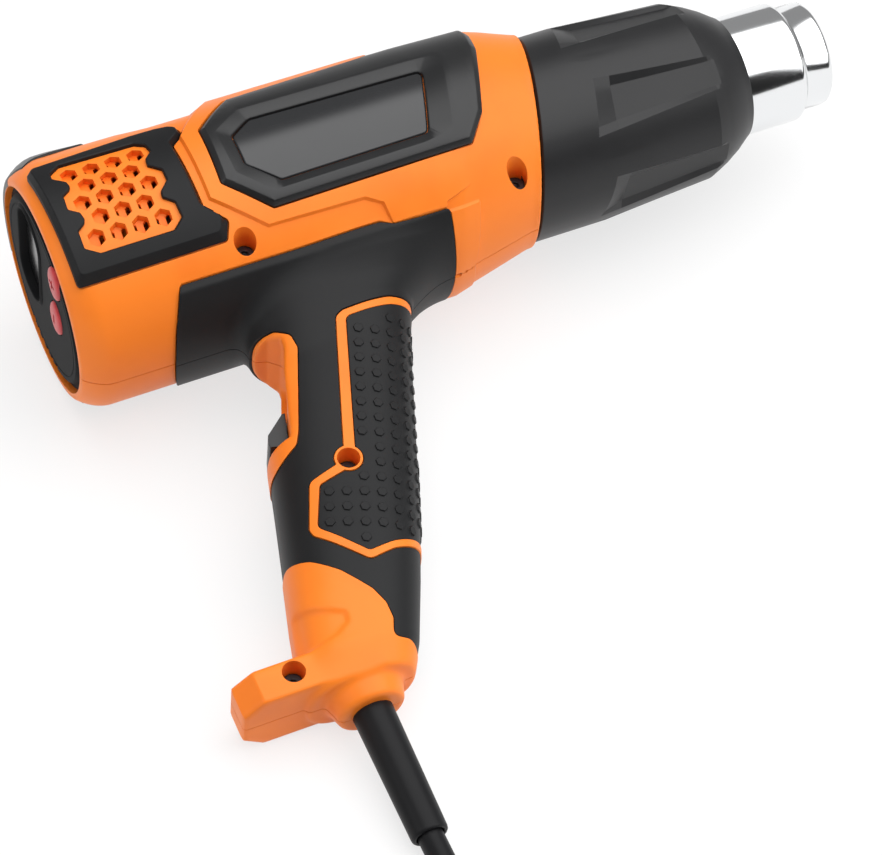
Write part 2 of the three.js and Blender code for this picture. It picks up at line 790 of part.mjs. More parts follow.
function nozzle() {
  const x0 = flangeX + flangeThickness + fit;
  const roll = 1.6;
  const inner = nozzleRadius - steel;
  const tipInner = tipRadius - steel - 0.4;
  return solid(turned([
    [x0, inner], [x0, nozzleFlangeRadius], [x0 + 1.2, nozzleFlangeRadius], [x0 + 1.2, nozzleRadius],
    [nozzleStep - 1.6, nozzleRadius], [nozzleStep - 0.5, nozzleRadius - 0.5], [nozzleStep, tipRadius + 0.9],
    [nozzleStep + 0.8, tipRadius], [nozzleTip - roll, tipRadius], [nozzleTip - 0.45, tipRadius - 0.5],
    [nozzleTip, tipRadius - 1.5], [nozzleTip, tipRadius - 2.1], [nozzleTip - roll, tipInner],
    [nozzleStep + 0.2, tipInner], [nozzleStep - 1.4, inner], [x0, inner],
  ], 26));
}

function heaterFlange() {
  const holes = [0, 60, 120, 180, 240, 300].map((degrees) => {
    const angle = THREE.MathUtils.degToRad(degrees + 30);
    return pin(flangeX - 1, flangeX + 4, 12 * Math.cos(angle), 12 * Math.sin(angle), 5, 8);
  });
  const rim = sleeveRearRadius - sleeveWall - 1 - fit;
  return cut(rod(flangeX, flangeX + flangeThickness, rim), ...holes);
}

const micaOuter = nozzleRadius - steel - fit;
const micaInner = micaOuter - 0.9;
const heaterStart = flangeX + flangeThickness + fit;
const heaterEnd = 246;

function micaTube() {
  return tube(heaterStart, heaterEnd + 4, micaInner, micaOuter, 24);
}

const coilWire = 0.6;
const coilRadius = micaInner - coilWire - 0.5;
const heatTurns = 7;
const heatSteps = 8;                // straight pieces in each turn

function heaterCore() {
  const half = coilRadius * Math.cos(Math.PI / heatSteps) - coilWire - fit;
  return join(
    box(heaterStart, heaterEnd, -half, half, -1.5, 1.5),
    box(heaterStart, heaterEnd, -1.5, 1.5, -half, half),
  );
}

function heatingCoil() {
  const points = [];
  const steps = heatTurns * heatSteps;
  for (let i = 0; i <= steps; i++) {
    const angle = (i / heatSteps) * 2 * Math.PI;
    const x = heaterStart + 6 + (i / steps) * (heaterEnd - heaterStart - 12);
    points.push(new THREE.Vector3(x, coilRadius * Math.cos(angle), coilRadius * Math.sin(angle)));
  }
  return solid(wire(points, coilWire, steps, 4));
}

function thermalCutoff() {
  return box(flangeX - fit - 6, flangeX - fit, 24, 28, -5, 5);
}

// Switch: built along the scoop's floor, u upwards along it and w inwards

const switchOrigin = new THREE.Vector3(48.5, -85.2, 0);
const switchFrame = new THREE.Matrix4().makeBasis(
  scoopSlope,
  new THREE.Vector3(scoopSlope.y, -scoopSlope.x, 0),
  new THREE.Vector3(0, 0, -1),
).setPosition(switchOrigin);
const stem = { start: 3.6, length: 6, half: 1.6, depth: 3.2 };
const switchDepth = 15;
const switchLength = 27;
const switchHalf = 9;

function inSwitchFrame(points, z0, z1) {
  const geometry = geometryOf(prism(points, z0, z1));
  geometry.applyMatrix4(switchFrame);
  return solid(geometry);
}

function switchRect(u0, u1, w0, w1, half) {
  return inSwitchFrame([[u0, w0], [u1, w0], [u1, w1], [u0, w1]], -half, half);
}

function switchSlider() {
  const outline = [[0.4, -fit], [0.4, -6], [1.2, -6.5], [4.5, -6.3], [11.8, -1.2], [12, -fit]];
  const knob = inSwitchFrame(outline, -8, 8);
  const inner = shellDepth + fit + stem.depth - fit;
  return join(knob, switchRect(stem.start, stem.start + stem.length, -0.5, inner, stem.half));
}

function switchSlot(grow, w0, w1) {
  const end = stem.start + stem.length + switchTravel;
  return switchRect(stem.start - grow, end + grow, w0, w1, stem.half + grow);
}

function switchBody() {
  const face = shellDepth + fit;
  return cut(
    switchRect(0.5, switchLength, face, face + switchDepth, switchHalf),
    switchSlot(fit, face - 1, face + stem.depth + fit),
  );
}

// Cord guard, clamp and the cord inside the handle

// A solid of revolution about the guard's axis, from points [radius, distance along the cord]
function onGuardAxis(points, segments = 20) {
  const lathe = new THREE.LatheGeometry(points.map(([radius, s]) => new THREE.Vector2(radius, -s)), segments);
  lathe.translate(cordX, guardRoot, 0);
  return solid(lathe);
}

function cordGuard() {
  const bore = cordRadius + 0.4;
  const neck = 1;
  return onGuardAxis([
    [bore, -guardInside], [guardFlangeRadius, -guardInside], [guardFlangeRadius, guardFlange - guardInside],
    [guardRootRadius, guardFlange - guardInside], [guardRootRadius, neck], [guardTipRadius, guardLength],
    [guardTipRadius - guardLip, guardLength + guardLip], [bore, guardLength + guardLip], [bore, -guardInside],
  ]);
}

function guardPocket() {
  return onGuardAxis([
    [0, -18], [cordRadius + fit, -18], [cordRadius + fit, -guardInside - fit],
    [guardFlangeRadius + fit, -guardInside - fit], [guardFlangeRadius + fit, guardFlange - guardInside + fit],
    [guardRootRadius + fit, guardFlange - guardInside + fit], [guardRootRadius + fit, 12], [0, 12],
  ]);
}

const tailTop = -142;

function guardPoint(distance) {
  return new THREE.Vector3(cordX, guardRoot - distance, 0);
}

function cordTail() {
  const end = guardRoot - guardLength - guardLip + mouthDepth;
  return upright(end, tailTop, cordRadius, cordRadius, 16);
}

const clampScrews = { clamp_screw_front: cordX + 6.9, clamp_screw_rear: cordX - 6.9 };
const clampY = -148.5;
const clampBase = cordRadius + fit;
const clampHeight = 2.2;
const clampShank = 1;

function cordClamp() {
  const bar = box(cordX - 9, cordX + 9, clampY - 3.5, clampY + 3.5, clampBase, clampBase + clampHeight);
  return cut(bar, ...Object.values(clampScrews).map((x) => post(x, clampY, 0, 12, clampShank + fit)));
}

function clampScrew(x) {
  const head = clampBase + clampHeight + fit;
  return join(post(x, clampY, -4, head + 0.2, clampShank, 12), post(x, clampY, head, head + 1.1, 1.8, 16));
}

function clampPost(x) {
  const column = post(x, clampY, -20, clampBase - fit, 2.2, 16).intersect(outer);
  return cut(column, post(x, clampY, -5, clampBase, clampShank + fit));
}

// Housing screws

function housingScrew([x, y, z]) {
  const seat = z - headDepth - headHeight + fit;
  const top = seat + headHeight - fit;
  const body = join(post(x, y, -10, seat + 0.2, shankRadius, 10), post(x, y, seat, top, headRadius));
  return cut(body, post(x, y, top - 1.2, top + fit, 1.3, 6));
}

// Leads inside the housing

const at = (x, y, z) => new THREE.Vector3(x, y, z);
const inSwitch = (u, w, z) => at(u, w, -z).applyMatrix4(switchFrame);
const leadRadius = 1.2;
const leads = {
  lead_live: [
    at(cordX + 1, tailTop + fit, 2), at(41, -134, 3), at(50, -118, 4), at(50.5, -104, 4),
    inSwitch(-6, 9, 4), inSwitch(0.2, 9, 4),
  ],
  lead_neutral: [
    at(cordX + 1, tailTop + fit, -2), at(41, -134, -3), at(50, -118, -4), at(50.5, -104, -4),
    inSwitch(-6, 9, -4), inSwitch(0.2, 9, -4),
  ],
  lead_motor: [
    inSwitch(switchLength + fit, 12, 4), inSwitch(switchLength + 3, 12, 4), inSwitch(switchLength + 9, 14, 4),
    at(67.5, -30, 3.5), at(67.5, -motorRadius - 0.7, 3.5),
  ],
  lead_board: [
    inSwitch(switchLength + fit, 8, -4), inSwitch(switchLength + 3, 8, -4), at(62.5, -48, -4.5),
    at(54, -34.5, -5), at(40, -33, -5), at(24, -26, -5), at(16, -18.5, -5),
    at(boardX + boardThickness + fit, -18, -5),
  ],
  lead_heater: [
    inSwitch(switchLength + fit, 15, 0), at(76, -48, 0), at(90, -35.5, 0), at(106, -34.6, 0),
    at(117, -32.6, 1), at(128, -28, 7), at(139, -20.5, 15.5), at(150, -14, 21), at(flangeX - fit, -12, 22),
  ],
};

// Housing halves

function housing(isRight) {
  const columns = Object.values(screws).map(
    ([x, y, z]) => post(x, y, seam, z + 4, bossRadius).intersect(outer),
  );
  const bedRadius = barrelRadius - skin - fit;
  const underPanel = tube(taperStart - 9, taperEnd + 0.5, collarRadius - shellDepth, bedRadius, roundSegments)
    .intersect(side(panelOutline, fit / 2));
  const bed = coverLayer(barrelRadius + 6, bedRadius);
  let shell = join(cut(join(outer, ridge(), cut(underPanel, aheadOfCollar(-8))), shellCore), ...columns)
    .intersect(box(-5, nozzleStep, cupBottom - reach, reach, seam, reach));
  shell = cut(
    shell,
    cut(join(overmouldRegion(fit / 2), side(padInner, fit / 2)), recessCore),
    bed.intersect(join(side(panelOutline, fit / 2, -1), side(ventOutline, fit / 2, -1))),
    coverLayer(barrelRadius + 6, barrelRadius - grilleDepth - 8).intersect(side(grilleOutline, 0, -1)),
    cut(trimRegion(fit / 2), barrelForm(skin + fit, -1)),
    rod(-3, coverFront + fit, coverRadius + fit, roundSegments),
    switchSlot(fit, -3, shellDepth + 2),
  );
  if (isRight) {
    shell = cut(shell, ...Object.values(screws).flatMap(([x, y, z]) => [
      post(x, y, z - headDepth - headHeight, reach, screwHoleRadius),
      post(x, y, -1, z, shankRadius + fit, 12),
    ]));
  } else {
    shell = cut(shell, ...Object.values(screws).map(
      ([x, y]) => post(x, y, -1, 10 + fit, shankRadius + fit, 12),
    ));
    shell = mirrored(join(shell, ...Object.values(clampScrews).map((x) => mirrored(clampPost(x)))));
  }
  return cut(shell, guardPocket());
}

// Assembly

function paint(name) {
  return new THREE.MeshStandardMaterial(paints[name]);
}

function piece(group, name, body, paintName) {
  const mesh = new THREE.Mesh(geometryOf(tidied(body)), paint(paintName));
  mesh.name = name;
  group.add(mesh);
  return mesh;
}

const tool = new THREE.Group();

const shells = {
  overmould: [overmould(), 'rubber'],
  textured_grip: [texturedGrip(), 'rubber'],
  side_panel: [sidePanel(), 'black'],
  panel_window: [panelWindow(), 'gloss'],
  vent_frame: [ventFrame(), 'black'],
  vent_grille: [ventGrille(), 'orange'],
};
piece(tool, 'housing_right', housing(true), 'orange');
piece(tool, 'housing_left', housing(false), 'orange');
for (const [name, [body, paintName]] of Object.entries(shells)) {
  piece(tool, `${name}_right`, body, paintName);
  piece(tool, `${name}_left`, mirrored(body), paintName);
}

piece(tool, 'crown_trim', crownTrim(), 'black');
piece(tool, 'rear_cover', rearCover(), 'black');
piece(tool, 'display_window', displayWindow(), 'gloss');
piece(tool, 'display_module', displayModule(), 'nylon');
piece(tool, 'control_board', controlBoard(), 'board');
for (const [name, place] of Object.entries(buttons)) piece(tool, name, button(place), 'red');
for (const [name, place] of Object.entries(boardScrews)) piece(tool, name, boardScrew(place), 'steel');

piece(tool, 'motor_can', motorCan(), 'steel');
piece(tool, 'motor_mount', motorMount(), 'nylon');
for (const [name, place] of Object.entries(motorScrews)) piece(tool, name, motorScrew(place), 'steel');
piece(tool, 'motor_shaft', motorShaft(), 'steel');
piece(tool, 'fan_impeller', fanImpeller(), 'nylon');
piece(tool, 'air_guide', airGuide(), 'nylon');

piece(tool, 'heat_sleeve', heatSleeve(), 'black');
piece(tool, 'nozzle', nozzle(), 'chrome');
piece(tool, 'heater_flange', heaterFlange(), 'steel');
piece(tool, 'mica_tube', micaTube(), 'mica');
piece(tool, 'heater_core', heaterCore(), 'ceramic');
piece(tool, 'heating_coil', heatingCoil(), 'steel');
piece(tool, 'thermal_cutoff', thermalCutoff(), 'nylon');

piece(tool, 'switch_slider', switchSlider(), 'black');
piece(tool, 'switch_body', switchBody(), 'black');
piece(tool, 'cord_guard', cordGuard(), 'rubber');
piece(tool, 'cord_tail', cordTail(), 'rubber');
piece(tool, 'cord_clamp', cordClamp(), 'nylon');
for (const [name, place] of Object.entries(clampScrews)) piece(tool, name, clampScrew(place), 'steel');
for (const [name, place] of Object.entries(screws)) piece(tool, name, housingScrew(place), 'darkSteel');
const leadPaints = {
  lead_live: 'wireRed',
  lead_neutral: 'wireBlue',
  lead_motor: 'wireRed',
  lead_board: 'wireBlue',
  lead_heater: 'wireRed',
};
for (const [name, points] of Object.entries(leads)) {
  piece(tool, name, solid(wire(points, leadRadius, 12, 5)), leadPaints[name]);
}

// The tool lies on its left side: tilted about its barrel until the wide end of its handle is as low as
// the left panel, then moved so that the middle of its footprint is at the origin.

const [endDrop, , , endHalf] = handleEnd;
const panelReach = barrelRadius + panelRaise;
const tilt = Math.asin(panelReach / Math.hypot(endDrop, endHalf)) - Math.atan2(endHalf, -endDrop);
tool.rotation.x = tilt;
tool.updateMatrixWorld(true);
const bounds = new THREE.Box3().setFromObject(tool, true);
tool.position.set(-(bounds.min.x + bounds.max.x) / 2, -(bounds.min.y + bounds.max.y) / 2, -bounds.min.z);
tool.updateMatrixWorld(true);

// The rest of the supply cord, lying on the floor beyond the guard

const mouth = guardPoint(guardLength + guardLip - mouthDepth + fit).applyMatrix4(tool.matrixWorld);
const leaving = guardPoint(guardLength + 4).applyMatrix4(tool.matrixWorld);
const onFloor = cordRadius + 0.05;
const freeRoute = [
  mouth,
  leaving,
  new THREE.Vector3(mouth.x, mouth.y - 22, onFloor + 0.35),
  new THREE.Vector3(mouth.x, mouth.y - 34, onFloor + 0.05),
  new THREE.Vector3(mouth.x, mouth.y - 50, onFloor),
  new THREE.Vector3(mouth.x, mouth.y - freeLength, onFloor),
];

const pitch = 2 * cordRadius + coilGap;
const coilCentre = new THREE.Vector3(mouth.x - coilOuter, mouth.y - freeLength - fit - coilLead, 0);

// The coil winds inwards on the floor, climbs a layer in half a turn and winds outwards on top.
function coilPoint(turn) {
  const inner = coilTurnsPerLayer;
  const climb = THREE.MathUtils.clamp((turn - inner) / 0.5, 0, 1);
  const inward = Math.min(turn, inner);
  const outward = Math.max(turn - inner - 0.5, 0);
  const radius = coilOuter - pitch * inward + pitch * outward;
  const angle = -turn * 2 * Math.PI;
  return new THREE.Vector3(
    coilCentre.x + radius * Math.cos(angle),
    coilCentre.y + radius * Math.sin(angle),
    onFloor + climb * pitch,
  );
}

const coilTurns = 2 * coilTurnsPerLayer + 0.5;
const coilSteps = Math.round(coilTurns * loopSteps);
const coilPoints = Array.from({ length: coilSteps + 1 }, (_, i) => coilPoint((i / coilSteps) * coilTurns));
const coilEnd = coilPoints[coilSteps];
coilPoints.unshift(new THREE.Vector3(mouth.x, coilCentre.y + coilLead, onFloor));
const plugAxis = new THREE.Vector3(coilEnd.x, coilEnd.y + plugAway, plugRadius + 0.05);
coilPoints.push(
  new THREE.Vector3(coilEnd.x, coilEnd.y + 12, coilEnd.z),
  new THREE.Vector3(plugAxis.x, plugAxis.y - 6, plugAxis.z),
  new THREE.Vector3(plugAxis.x, plugAxis.y + plugBore - fit, plugAxis.z),
);

function leastSelfGap(points, radius, apart) {
  let least = Infinity;
  for (let i = 0; i < points.length; i++) {
    for (let j = i + apart; j < points.length; j++) {
      least = Math.min(least, points[i].distanceTo(points[j]) - 2 * radius);
    }
  }
  return least;
}

function lengthOf(points) {
  return points.slice(1).reduce((sum, p, i) => sum + p.distanceTo(points[i]), 0);
}

// A tube through given points, each ring square to the path, with flat ends
function tubeThrough(points, radius, sides) {
  const upwards = new THREE.Vector3(0, 0, 1);
  const rings = points.map((p, i) => {
    const before = points[Math.max(i - 1, 0)];
    const after = points[Math.min(i + 1, points.length - 1)];
    const along = after.clone().sub(before).normalize();
    const across = new THREE.Vector3().crossVectors(along, upwards).normalize();
    const over = new THREE.Vector3().crossVectors(across, along);
    return Array.from({ length: sides }, (_, k) => {
      const angle = ((k + 0.5) / sides) * 2 * Math.PI;
      return p.clone()
        .addScaledVector(across, radius * Math.cos(angle))
        .addScaledVector(over, radius * Math.sin(angle));
    });
  });
  return loft(rings);
}

const cord = new THREE.Group();
piece(cord, 'cord_free', solid(wire(freeRoute, cordRadius, 12, 12)), 'rubber');
piece(cord, 'cord_coil', tubeThrough(coilPoints, cordRadius, 6), 'rubber');

// A solid of revolution about the plug's axis, from points [radius, distance from the cord's entry]
function onPlugAxis(points, segments = 24) {
  const lathe = new THREE.LatheGeometry(points.map(([radius, y]) => new THREE.Vector2(radius, y)), segments);
  lathe.translate(plugAxis.x, plugAxis.y, plugAxis.z);
  return solid(lathe);
}

function plugPin(x, y0, y1, radius) {
  const geometry = new THREE.CylinderGeometry(radius, radius, y1 - y0, 16);
  geometry.translate(plugAxis.x + x, plugAxis.y + (y0 + y1) / 2, plugAxis.z);
  return solid(geometry);
}

const plugBody = cut(
  onPlugAxis([
    [0, 0], [cordRadius + 1.6, 0], [cordRadius + 3.4, 18], [plugRadius - 2, 24], [plugRadius, 27],
    [plugRadius, plugLength - 1.5], [plugRadius - 1.5, plugLength], [0, plugLength],
  ]),
  onPlugAxis([[0, -1], [cordRadius + fit, -1], [cordRadius + fit, plugBore], [0, plugBore]], 16),
  plugPin(-pinSpacing / 2, plugLength - pinSocket, plugLength + 1, pinRadius + fit),
  plugPin(pinSpacing / 2, plugLength - pinSocket, plugLength + 1, pinRadius + fit),
);
const pinEnds = [plugLength - pinSocket + fit, plugLength + pinLength];
piece(cord, 'plug_body', plugBody, 'rubber');
piece(cord, 'plug_pin_a', plugPin(-pinSpacing / 2, ...pinEnds, pinRadius), 'brass');
piece(cord, 'plug_pin_b', plugPin(pinSpacing / 2, ...pinEnds, pinRadius), 'brass');

const part = new THREE.Group();
part.add(tool, cord);

const coilGapFound = leastSelfGap(coilPoints, cordRadius, 12);
console.error('coil length', lengthOf(coilPoints).toFixed(0), 'least self-gap', coilGapFound.toFixed(2));

export default part;
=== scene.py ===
import json
import math

import bmesh
import bpy
import numpy as np
import openvdb
from mathutils import Matrix, Vector
from mathutils.geometry import delaunay_2d_cdt

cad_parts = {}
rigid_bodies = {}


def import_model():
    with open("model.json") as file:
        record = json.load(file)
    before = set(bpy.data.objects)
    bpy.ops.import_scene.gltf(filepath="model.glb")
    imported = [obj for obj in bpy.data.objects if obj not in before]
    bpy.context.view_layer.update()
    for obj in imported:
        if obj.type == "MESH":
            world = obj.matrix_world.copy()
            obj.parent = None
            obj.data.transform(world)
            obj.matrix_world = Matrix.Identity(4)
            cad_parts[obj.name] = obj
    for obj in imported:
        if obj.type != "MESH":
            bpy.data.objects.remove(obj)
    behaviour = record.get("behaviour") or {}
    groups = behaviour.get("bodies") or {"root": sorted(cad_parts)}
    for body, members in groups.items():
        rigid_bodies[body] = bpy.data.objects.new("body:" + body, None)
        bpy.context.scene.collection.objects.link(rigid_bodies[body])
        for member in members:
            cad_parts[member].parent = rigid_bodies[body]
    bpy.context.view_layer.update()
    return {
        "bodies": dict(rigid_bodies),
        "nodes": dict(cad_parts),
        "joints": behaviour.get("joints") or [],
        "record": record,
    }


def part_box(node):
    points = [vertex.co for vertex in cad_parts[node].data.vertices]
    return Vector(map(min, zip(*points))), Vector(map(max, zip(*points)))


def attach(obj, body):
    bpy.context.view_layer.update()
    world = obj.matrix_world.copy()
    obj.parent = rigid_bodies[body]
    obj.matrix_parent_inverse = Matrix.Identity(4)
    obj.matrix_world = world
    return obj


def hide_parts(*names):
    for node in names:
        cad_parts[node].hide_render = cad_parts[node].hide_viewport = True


# The tool's own frame is in millimetres: x runs along the barrel from the rear rim to the nozzle,
# y points to the top of the tool and z to its right side. It is laid down by toolMatrix.

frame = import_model()
nodes = frame["nodes"]
print("frame loaded:", len(nodes), "nodes")

mm = 0.001
fit = 0.3  # gap between neighbouring pieces
seam = 0.15  # half of the gap between the housing halves

form = {
    "barrel": 40.3,
    "collar": 33.7,
    "rearRim": 35.6,
    "rearRound": 10,
    "taper": (140.5, 163),  # the barrel narrows to the collar between these, both raked with the height
    "taperRake": (0.39, 0.29),
    "topDrop": ([4, 12, 36, 46, 64, 118, 140, 160], [0, 0.8, 1, 2, 2, 1.2, 1.2, 0]),
    "topFrom": (22, 34),  # the top is lower than a round barrel by topDrop, fading in between these heights
    "edge": 0.8,
    "collarX": 164.4,
    "rake": 0.27,
    "panelRaise": 2,
    "handleEnd": (158, 16),  # distance from the axis and half width where the lying handle touches the floor
    "nozzleTip": 269,
}


def layTool():
    drop, half = form["handleEnd"]
    low = form["barrel"] + form["panelRaise"]
    tilt = math.asin(low / math.hypot(drop, half)) - math.atan2(half, drop)
    a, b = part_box("nozzle")
    axis = Vector((b.x - form["nozzleTip"] * mm, (a.y + b.y) / 2, (a.z + b.z) / 2))
    return Matrix.Translation(axis) @ Matrix.Rotation(tilt, 4, "X")


toolMatrix = layTool()


def toFloor(x, y, z):
    return toolMatrix @ Vector((x * mm, y * mm, z * mm))


# Camera

view = {
    "place": (-186.2, -586.8, 900.4),
    "right": (0.9152, -0.3972, 0.0683),
    "up": (0.3037, 0.7911, 0.5310),
    "back": (-0.2649, -0.4652, 0.8446),
    "lens": 142.14,
}


def makeCamera():
    data = bpy.data.cameras.new("camera")
    data.sensor_fit = "HORIZONTAL"
    data.sensor_width = 36
    data.lens = view["lens"]
    data.clip_start = 0.01
    data.clip_end = 20
    turn = toolMatrix.to_3x3() @ Matrix((view["right"], view["up"], view["back"])).transposed()
    camera = bpy.data.objects.new("camera", data)
    turn = turn.to_quaternion().to_matrix().to_4x4()
    camera.matrix_world = Matrix.Translation(toFloor(*view["place"])) @ turn
    bpy.context.scene.collection.objects.link(camera)
    bpy.context.scene.camera = camera


makeCamera()

# Shader graphs: arithmetic on sockets is written as plain expressions


class Value:
    def __init__(self, graph, socket):
        self.graph = graph
        self.socket = socket

    def __add__(self, other):
        return self.graph.add("Math", {"operation": "ADD"}, i0=self, i1=other)

    def __mul__(self, other):
        return self.graph.add("Math", {"operation": "MULTIPLY"}, i0=self, i1=other)

    __radd__ = __add__
    __rmul__ = __mul__

    def smooth(self, low, high):
        settings = {"interpolation_type": "SMOOTHSTEP"}
        return self.graph.add("MapRange", settings, out="Result", Value=self, From_Min=low, From_Max=high)


class Graph:
    def __init__(self, tree):
        self.tree = tree

    # Any node: its settings come first, then the values or links of its sockets
    def add(self, kind, settings=None, out=0, **sockets):
        node = self.tree.nodes.new("ShaderNode" + kind)
        for key, value in (settings or {}).items():
            setattr(node, key, value)
        self.feed(node, **sockets)
        return Value(self, node.outputs[out])

    # Sockets go by their name, or by i and their number where several share a name
    def feed(self, node, **sockets):
        for key, item in sockets.items():
            slot = node.inputs[int(key[1:]) if key[1:].isdigit() else key.replace("_", " ")]
            if isinstance(item, Value):
                self.tree.links.new(item.socket, slot)
            else:
                slot.default_value = item


class Finish(Graph):
    def __init__(self, name):
        self.material = bpy.data.materials.new(name)
        self.material.use_nodes = True
        super().__init__(self.material.node_tree)
        self.shader = self.tree.nodes["Principled BSDF"]
        self.place = self.add("TexCoord", out="Object")

    def noise(self, scale, detail=2.0, roughness=0.5, stretch=None):
        where = self.add("Mapping", i0=self.place, Scale=stretch) if stretch else self.place
        return self.add("TexNoise", Vector=where, Scale=scale, Detail=detail, Roughness=roughness)

    def mix(self, a, b, factor):
        return self.add("Mix", {"data_type": "RGBA"}, out=2, i0=factor, i6=(*a, 1), i7=(*b, 1))

    # Grain as height, over edges that the shader rounds off a little
    def relief(self, height, distance, edge=0.3):
        rounded = self.add("Bevel", {"samples": 6}, Radius=edge * mm)
        return self.add("Bump", Strength=1.0, Distance=distance * mm, Height=height, Normal=rounded)

    def surface(self, **sockets):
        self.feed(self.shader, **sockets)
        return self.material


# A plastic with faint darker clouds; the grain is its height in millimetres
def plastic(name, colour, dark, rough, grain=0.02, specular=0.5):
    finish = Finish(name)
    cloud = finish.noise(45, 3)
    fine = finish.noise(3200, 2, 0.6)
    return finish.surface(
        Base_Color=finish.mix(dark, colour, cloud.smooth(0.25, 0.6)),
        Roughness=fine * 0.1 + cloud * 0.08 + (rough - 0.09),
        Specular_IOR_Level=specular,
        Normal=finish.relief(fine, grain),
    )


def drawnSteel(name, colour, rough, streak=0.06):
    finish = Finish(name)
    lines = finish.noise(260, 3, 0.6, stretch=(6, 1, 1))
    cloud = finish.noise(30, 2)
    return finish.surface(
        Base_Color=(*colour, 1),
        Metallic=1.0,
        Roughness=lines * streak + cloud * 0.05 + rough,
        Normal=finish.relief(lines, 0.004, edge=0.4),
    )


finishes = {
    "housing": plastic("orangePlastic", (0.94, 0.225, 0.02), (0.9, 0.2, 0.017), 0.42, specular=0.25),
    "soft_grip": plastic("softBlack", (0.011, 0.0112, 0.012), (0.009, 0.0092, 0.01), 0.5, 0.03, 0.22),
    "black_trim": plastic(
        "blackPlastic", (0.013, 0.0132, 0.014), (0.011, 0.0112, 0.012), 0.36, specular=0.42,
    ),
    "matteBlack": plastic("matteBlack", (0.01, 0.0102, 0.011), (0.008, 0.0082, 0.009), 0.5, specular=0.2),
    "sleeve": plastic("sleevePlastic", (0.014, 0.014, 0.015), (0.011, 0.011, 0.012), 0.4, specular=0.36),
    "gloss_plate": plastic("glossPlate", (0.02, 0.0205, 0.022), (0.018, 0.0185, 0.02), 0.2, 0.002, 0.55),
    "coverBlack": plastic("coverBlack", (0.01, 0.0102, 0.011), (0.008, 0.0082, 0.009), 0.6, specular=0.06),
    "displayGlass": plastic("displayGlass", (0.006, 0.006, 0.007), (0.005, 0.005, 0.006), 0.15, 0.001),
    "button": plastic("redButton", (0.6, 0.055, 0.06), (0.54, 0.045, 0.05), 0.38, specular=0.3),
    "cord_rubber": plastic("cordSheath", (0.01, 0.01, 0.011), (0.008, 0.008, 0.009), 0.42, specular=0.15),
    "nylon": plastic("nylon", (0.66, 0.66, 0.62), (0.6, 0.6, 0.56), 0.45),
    "board": plastic("boardGreen", (0.03, 0.16, 0.06), (0.02, 0.12, 0.045), 0.4),
    "mica": plastic("micaSheet", (0.58, 0.47, 0.3), (0.45, 0.35, 0.2), 0.6),
    "ceramic": plastic("ceramic", (0.8, 0.77, 0.68), (0.74, 0.7, 0.6), 0.75),
    "lead_red": plastic("leadRed", (0.42, 0.03, 0.03), (0.36, 0.02, 0.02), 0.45),
    "lead_blue": plastic("leadBlue", (0.04, 0.1, 0.42), (0.03, 0.08, 0.35), 0.45),
    "bright_steel": drawnSteel("brightSteel", (0.83, 0.84, 0.85), 0.06),
    "steel": drawnSteel("plainSteel", (0.55, 0.56, 0.57), 0.3),
    "dark_steel": drawnSteel("blackScrew", (0.06, 0.06, 0.065), 0.35),
    "plug_brass": drawnSteel("pinBrass", (0.75, 0.55, 0.25), 0.22),
}
slotOf = {entry["node"]: entry["material_slot"] for entry in frame["record"]["subparts"]}
for name, node in nodes.items():
    node.data.materials.clear()
    node.data.materials.append(finishes[slotOf[name]])
print("finishes made")

# Solids in the tool's frame, in millimetres until they are placed


def solid(name, points, faces):
    mesh = bpy.data.meshes.new(name)
    mesh.from_pydata([tuple(p) for p in points], [], [tuple(f) for f in faces])
    mesh.validate()
    built = bpy.data.objects.new(name, mesh)
    bpy.context.scene.collection.objects.link(built)
    return built


def drop(*objects):
    for built in objects:
        mesh = built.data
        bpy.data.objects.remove(built)
        bpy.data.meshes.remove(mesh)


# Loops of equally many points, joined in order and closed round both ways
def rings(name, loops):
    points = np.array(loops, float)
    count, around = points.shape[:2]
    faces = []
    for i in range(count):
        a, b = i * around, (i + 1) % count * around
        for j in range(around):
            k = (j + 1) % around
            faces.append((a + j, b + j, b + k, a + k))
    return outward(solid(name, points.reshape(-1, 3), faces))


# A closed ring of (x, radius) points turned about the barrel's axis
def turned(name, profile, segments=128):
    steps = [2 * math.pi * i / segments for i in range(segments)]
    return rings(name, [[(x, r * math.cos(a), r * math.sin(a)) for x, r in profile] for a in steps])


# Merges doubles and turns every face outwards
def outward(built):
    shape = bmesh.new()
    shape.from_mesh(built.data)
    bmesh.ops.remove_doubles(shape, verts=shape.verts, dist=1e-5)
    bmesh.ops.dissolve_degenerate(shape, dist=1e-6, edges=shape.edges)
    bmesh.ops.recalc_face_normals(shape, faces=shape.faces)
    if shape.calc_volume(signed=True) < 0:
        bmesh.ops.reverse_faces(shape, faces=shape.faces)
    shape.to_mesh(built.data)
    shape.free()
    return built


# A closed XY outline drawn out along z
def prism(name, outline, low, high):
    count = len(outline)
    points = [(x, y, low) for x, y in outline] + [(x, y, high) for x, y in outline]
    faces = [tuple(range(count))[::-1], tuple(range(count, 2 * count))]
    faces += [(i, (i + 1) % count, (i + 1) % count + count, i + count) for i in range(count)]
    return outward(solid(name, points, faces))


# An object's mesh with its modifiers carried out
def applied(built):
    old = built.data
    graph = bpy.context.evaluated_depsgraph_get()
    built.data = bpy.data.meshes.new_from_object(built.evaluated_get(graph))
    built.modifiers.clear()
    bpy.data.meshes.remove(old)
    return built


def boolean(body, operation, *tools, keep=False):
    for tool in tools:
        modifier = body.modifiers.new("boolean", "BOOLEAN")
        modifier.solver = "MANIFOLD"
        modifier.operation = operation
        modifier.object = tool
    applied(body)
    if not keep:
        drop(*tools)
    return body


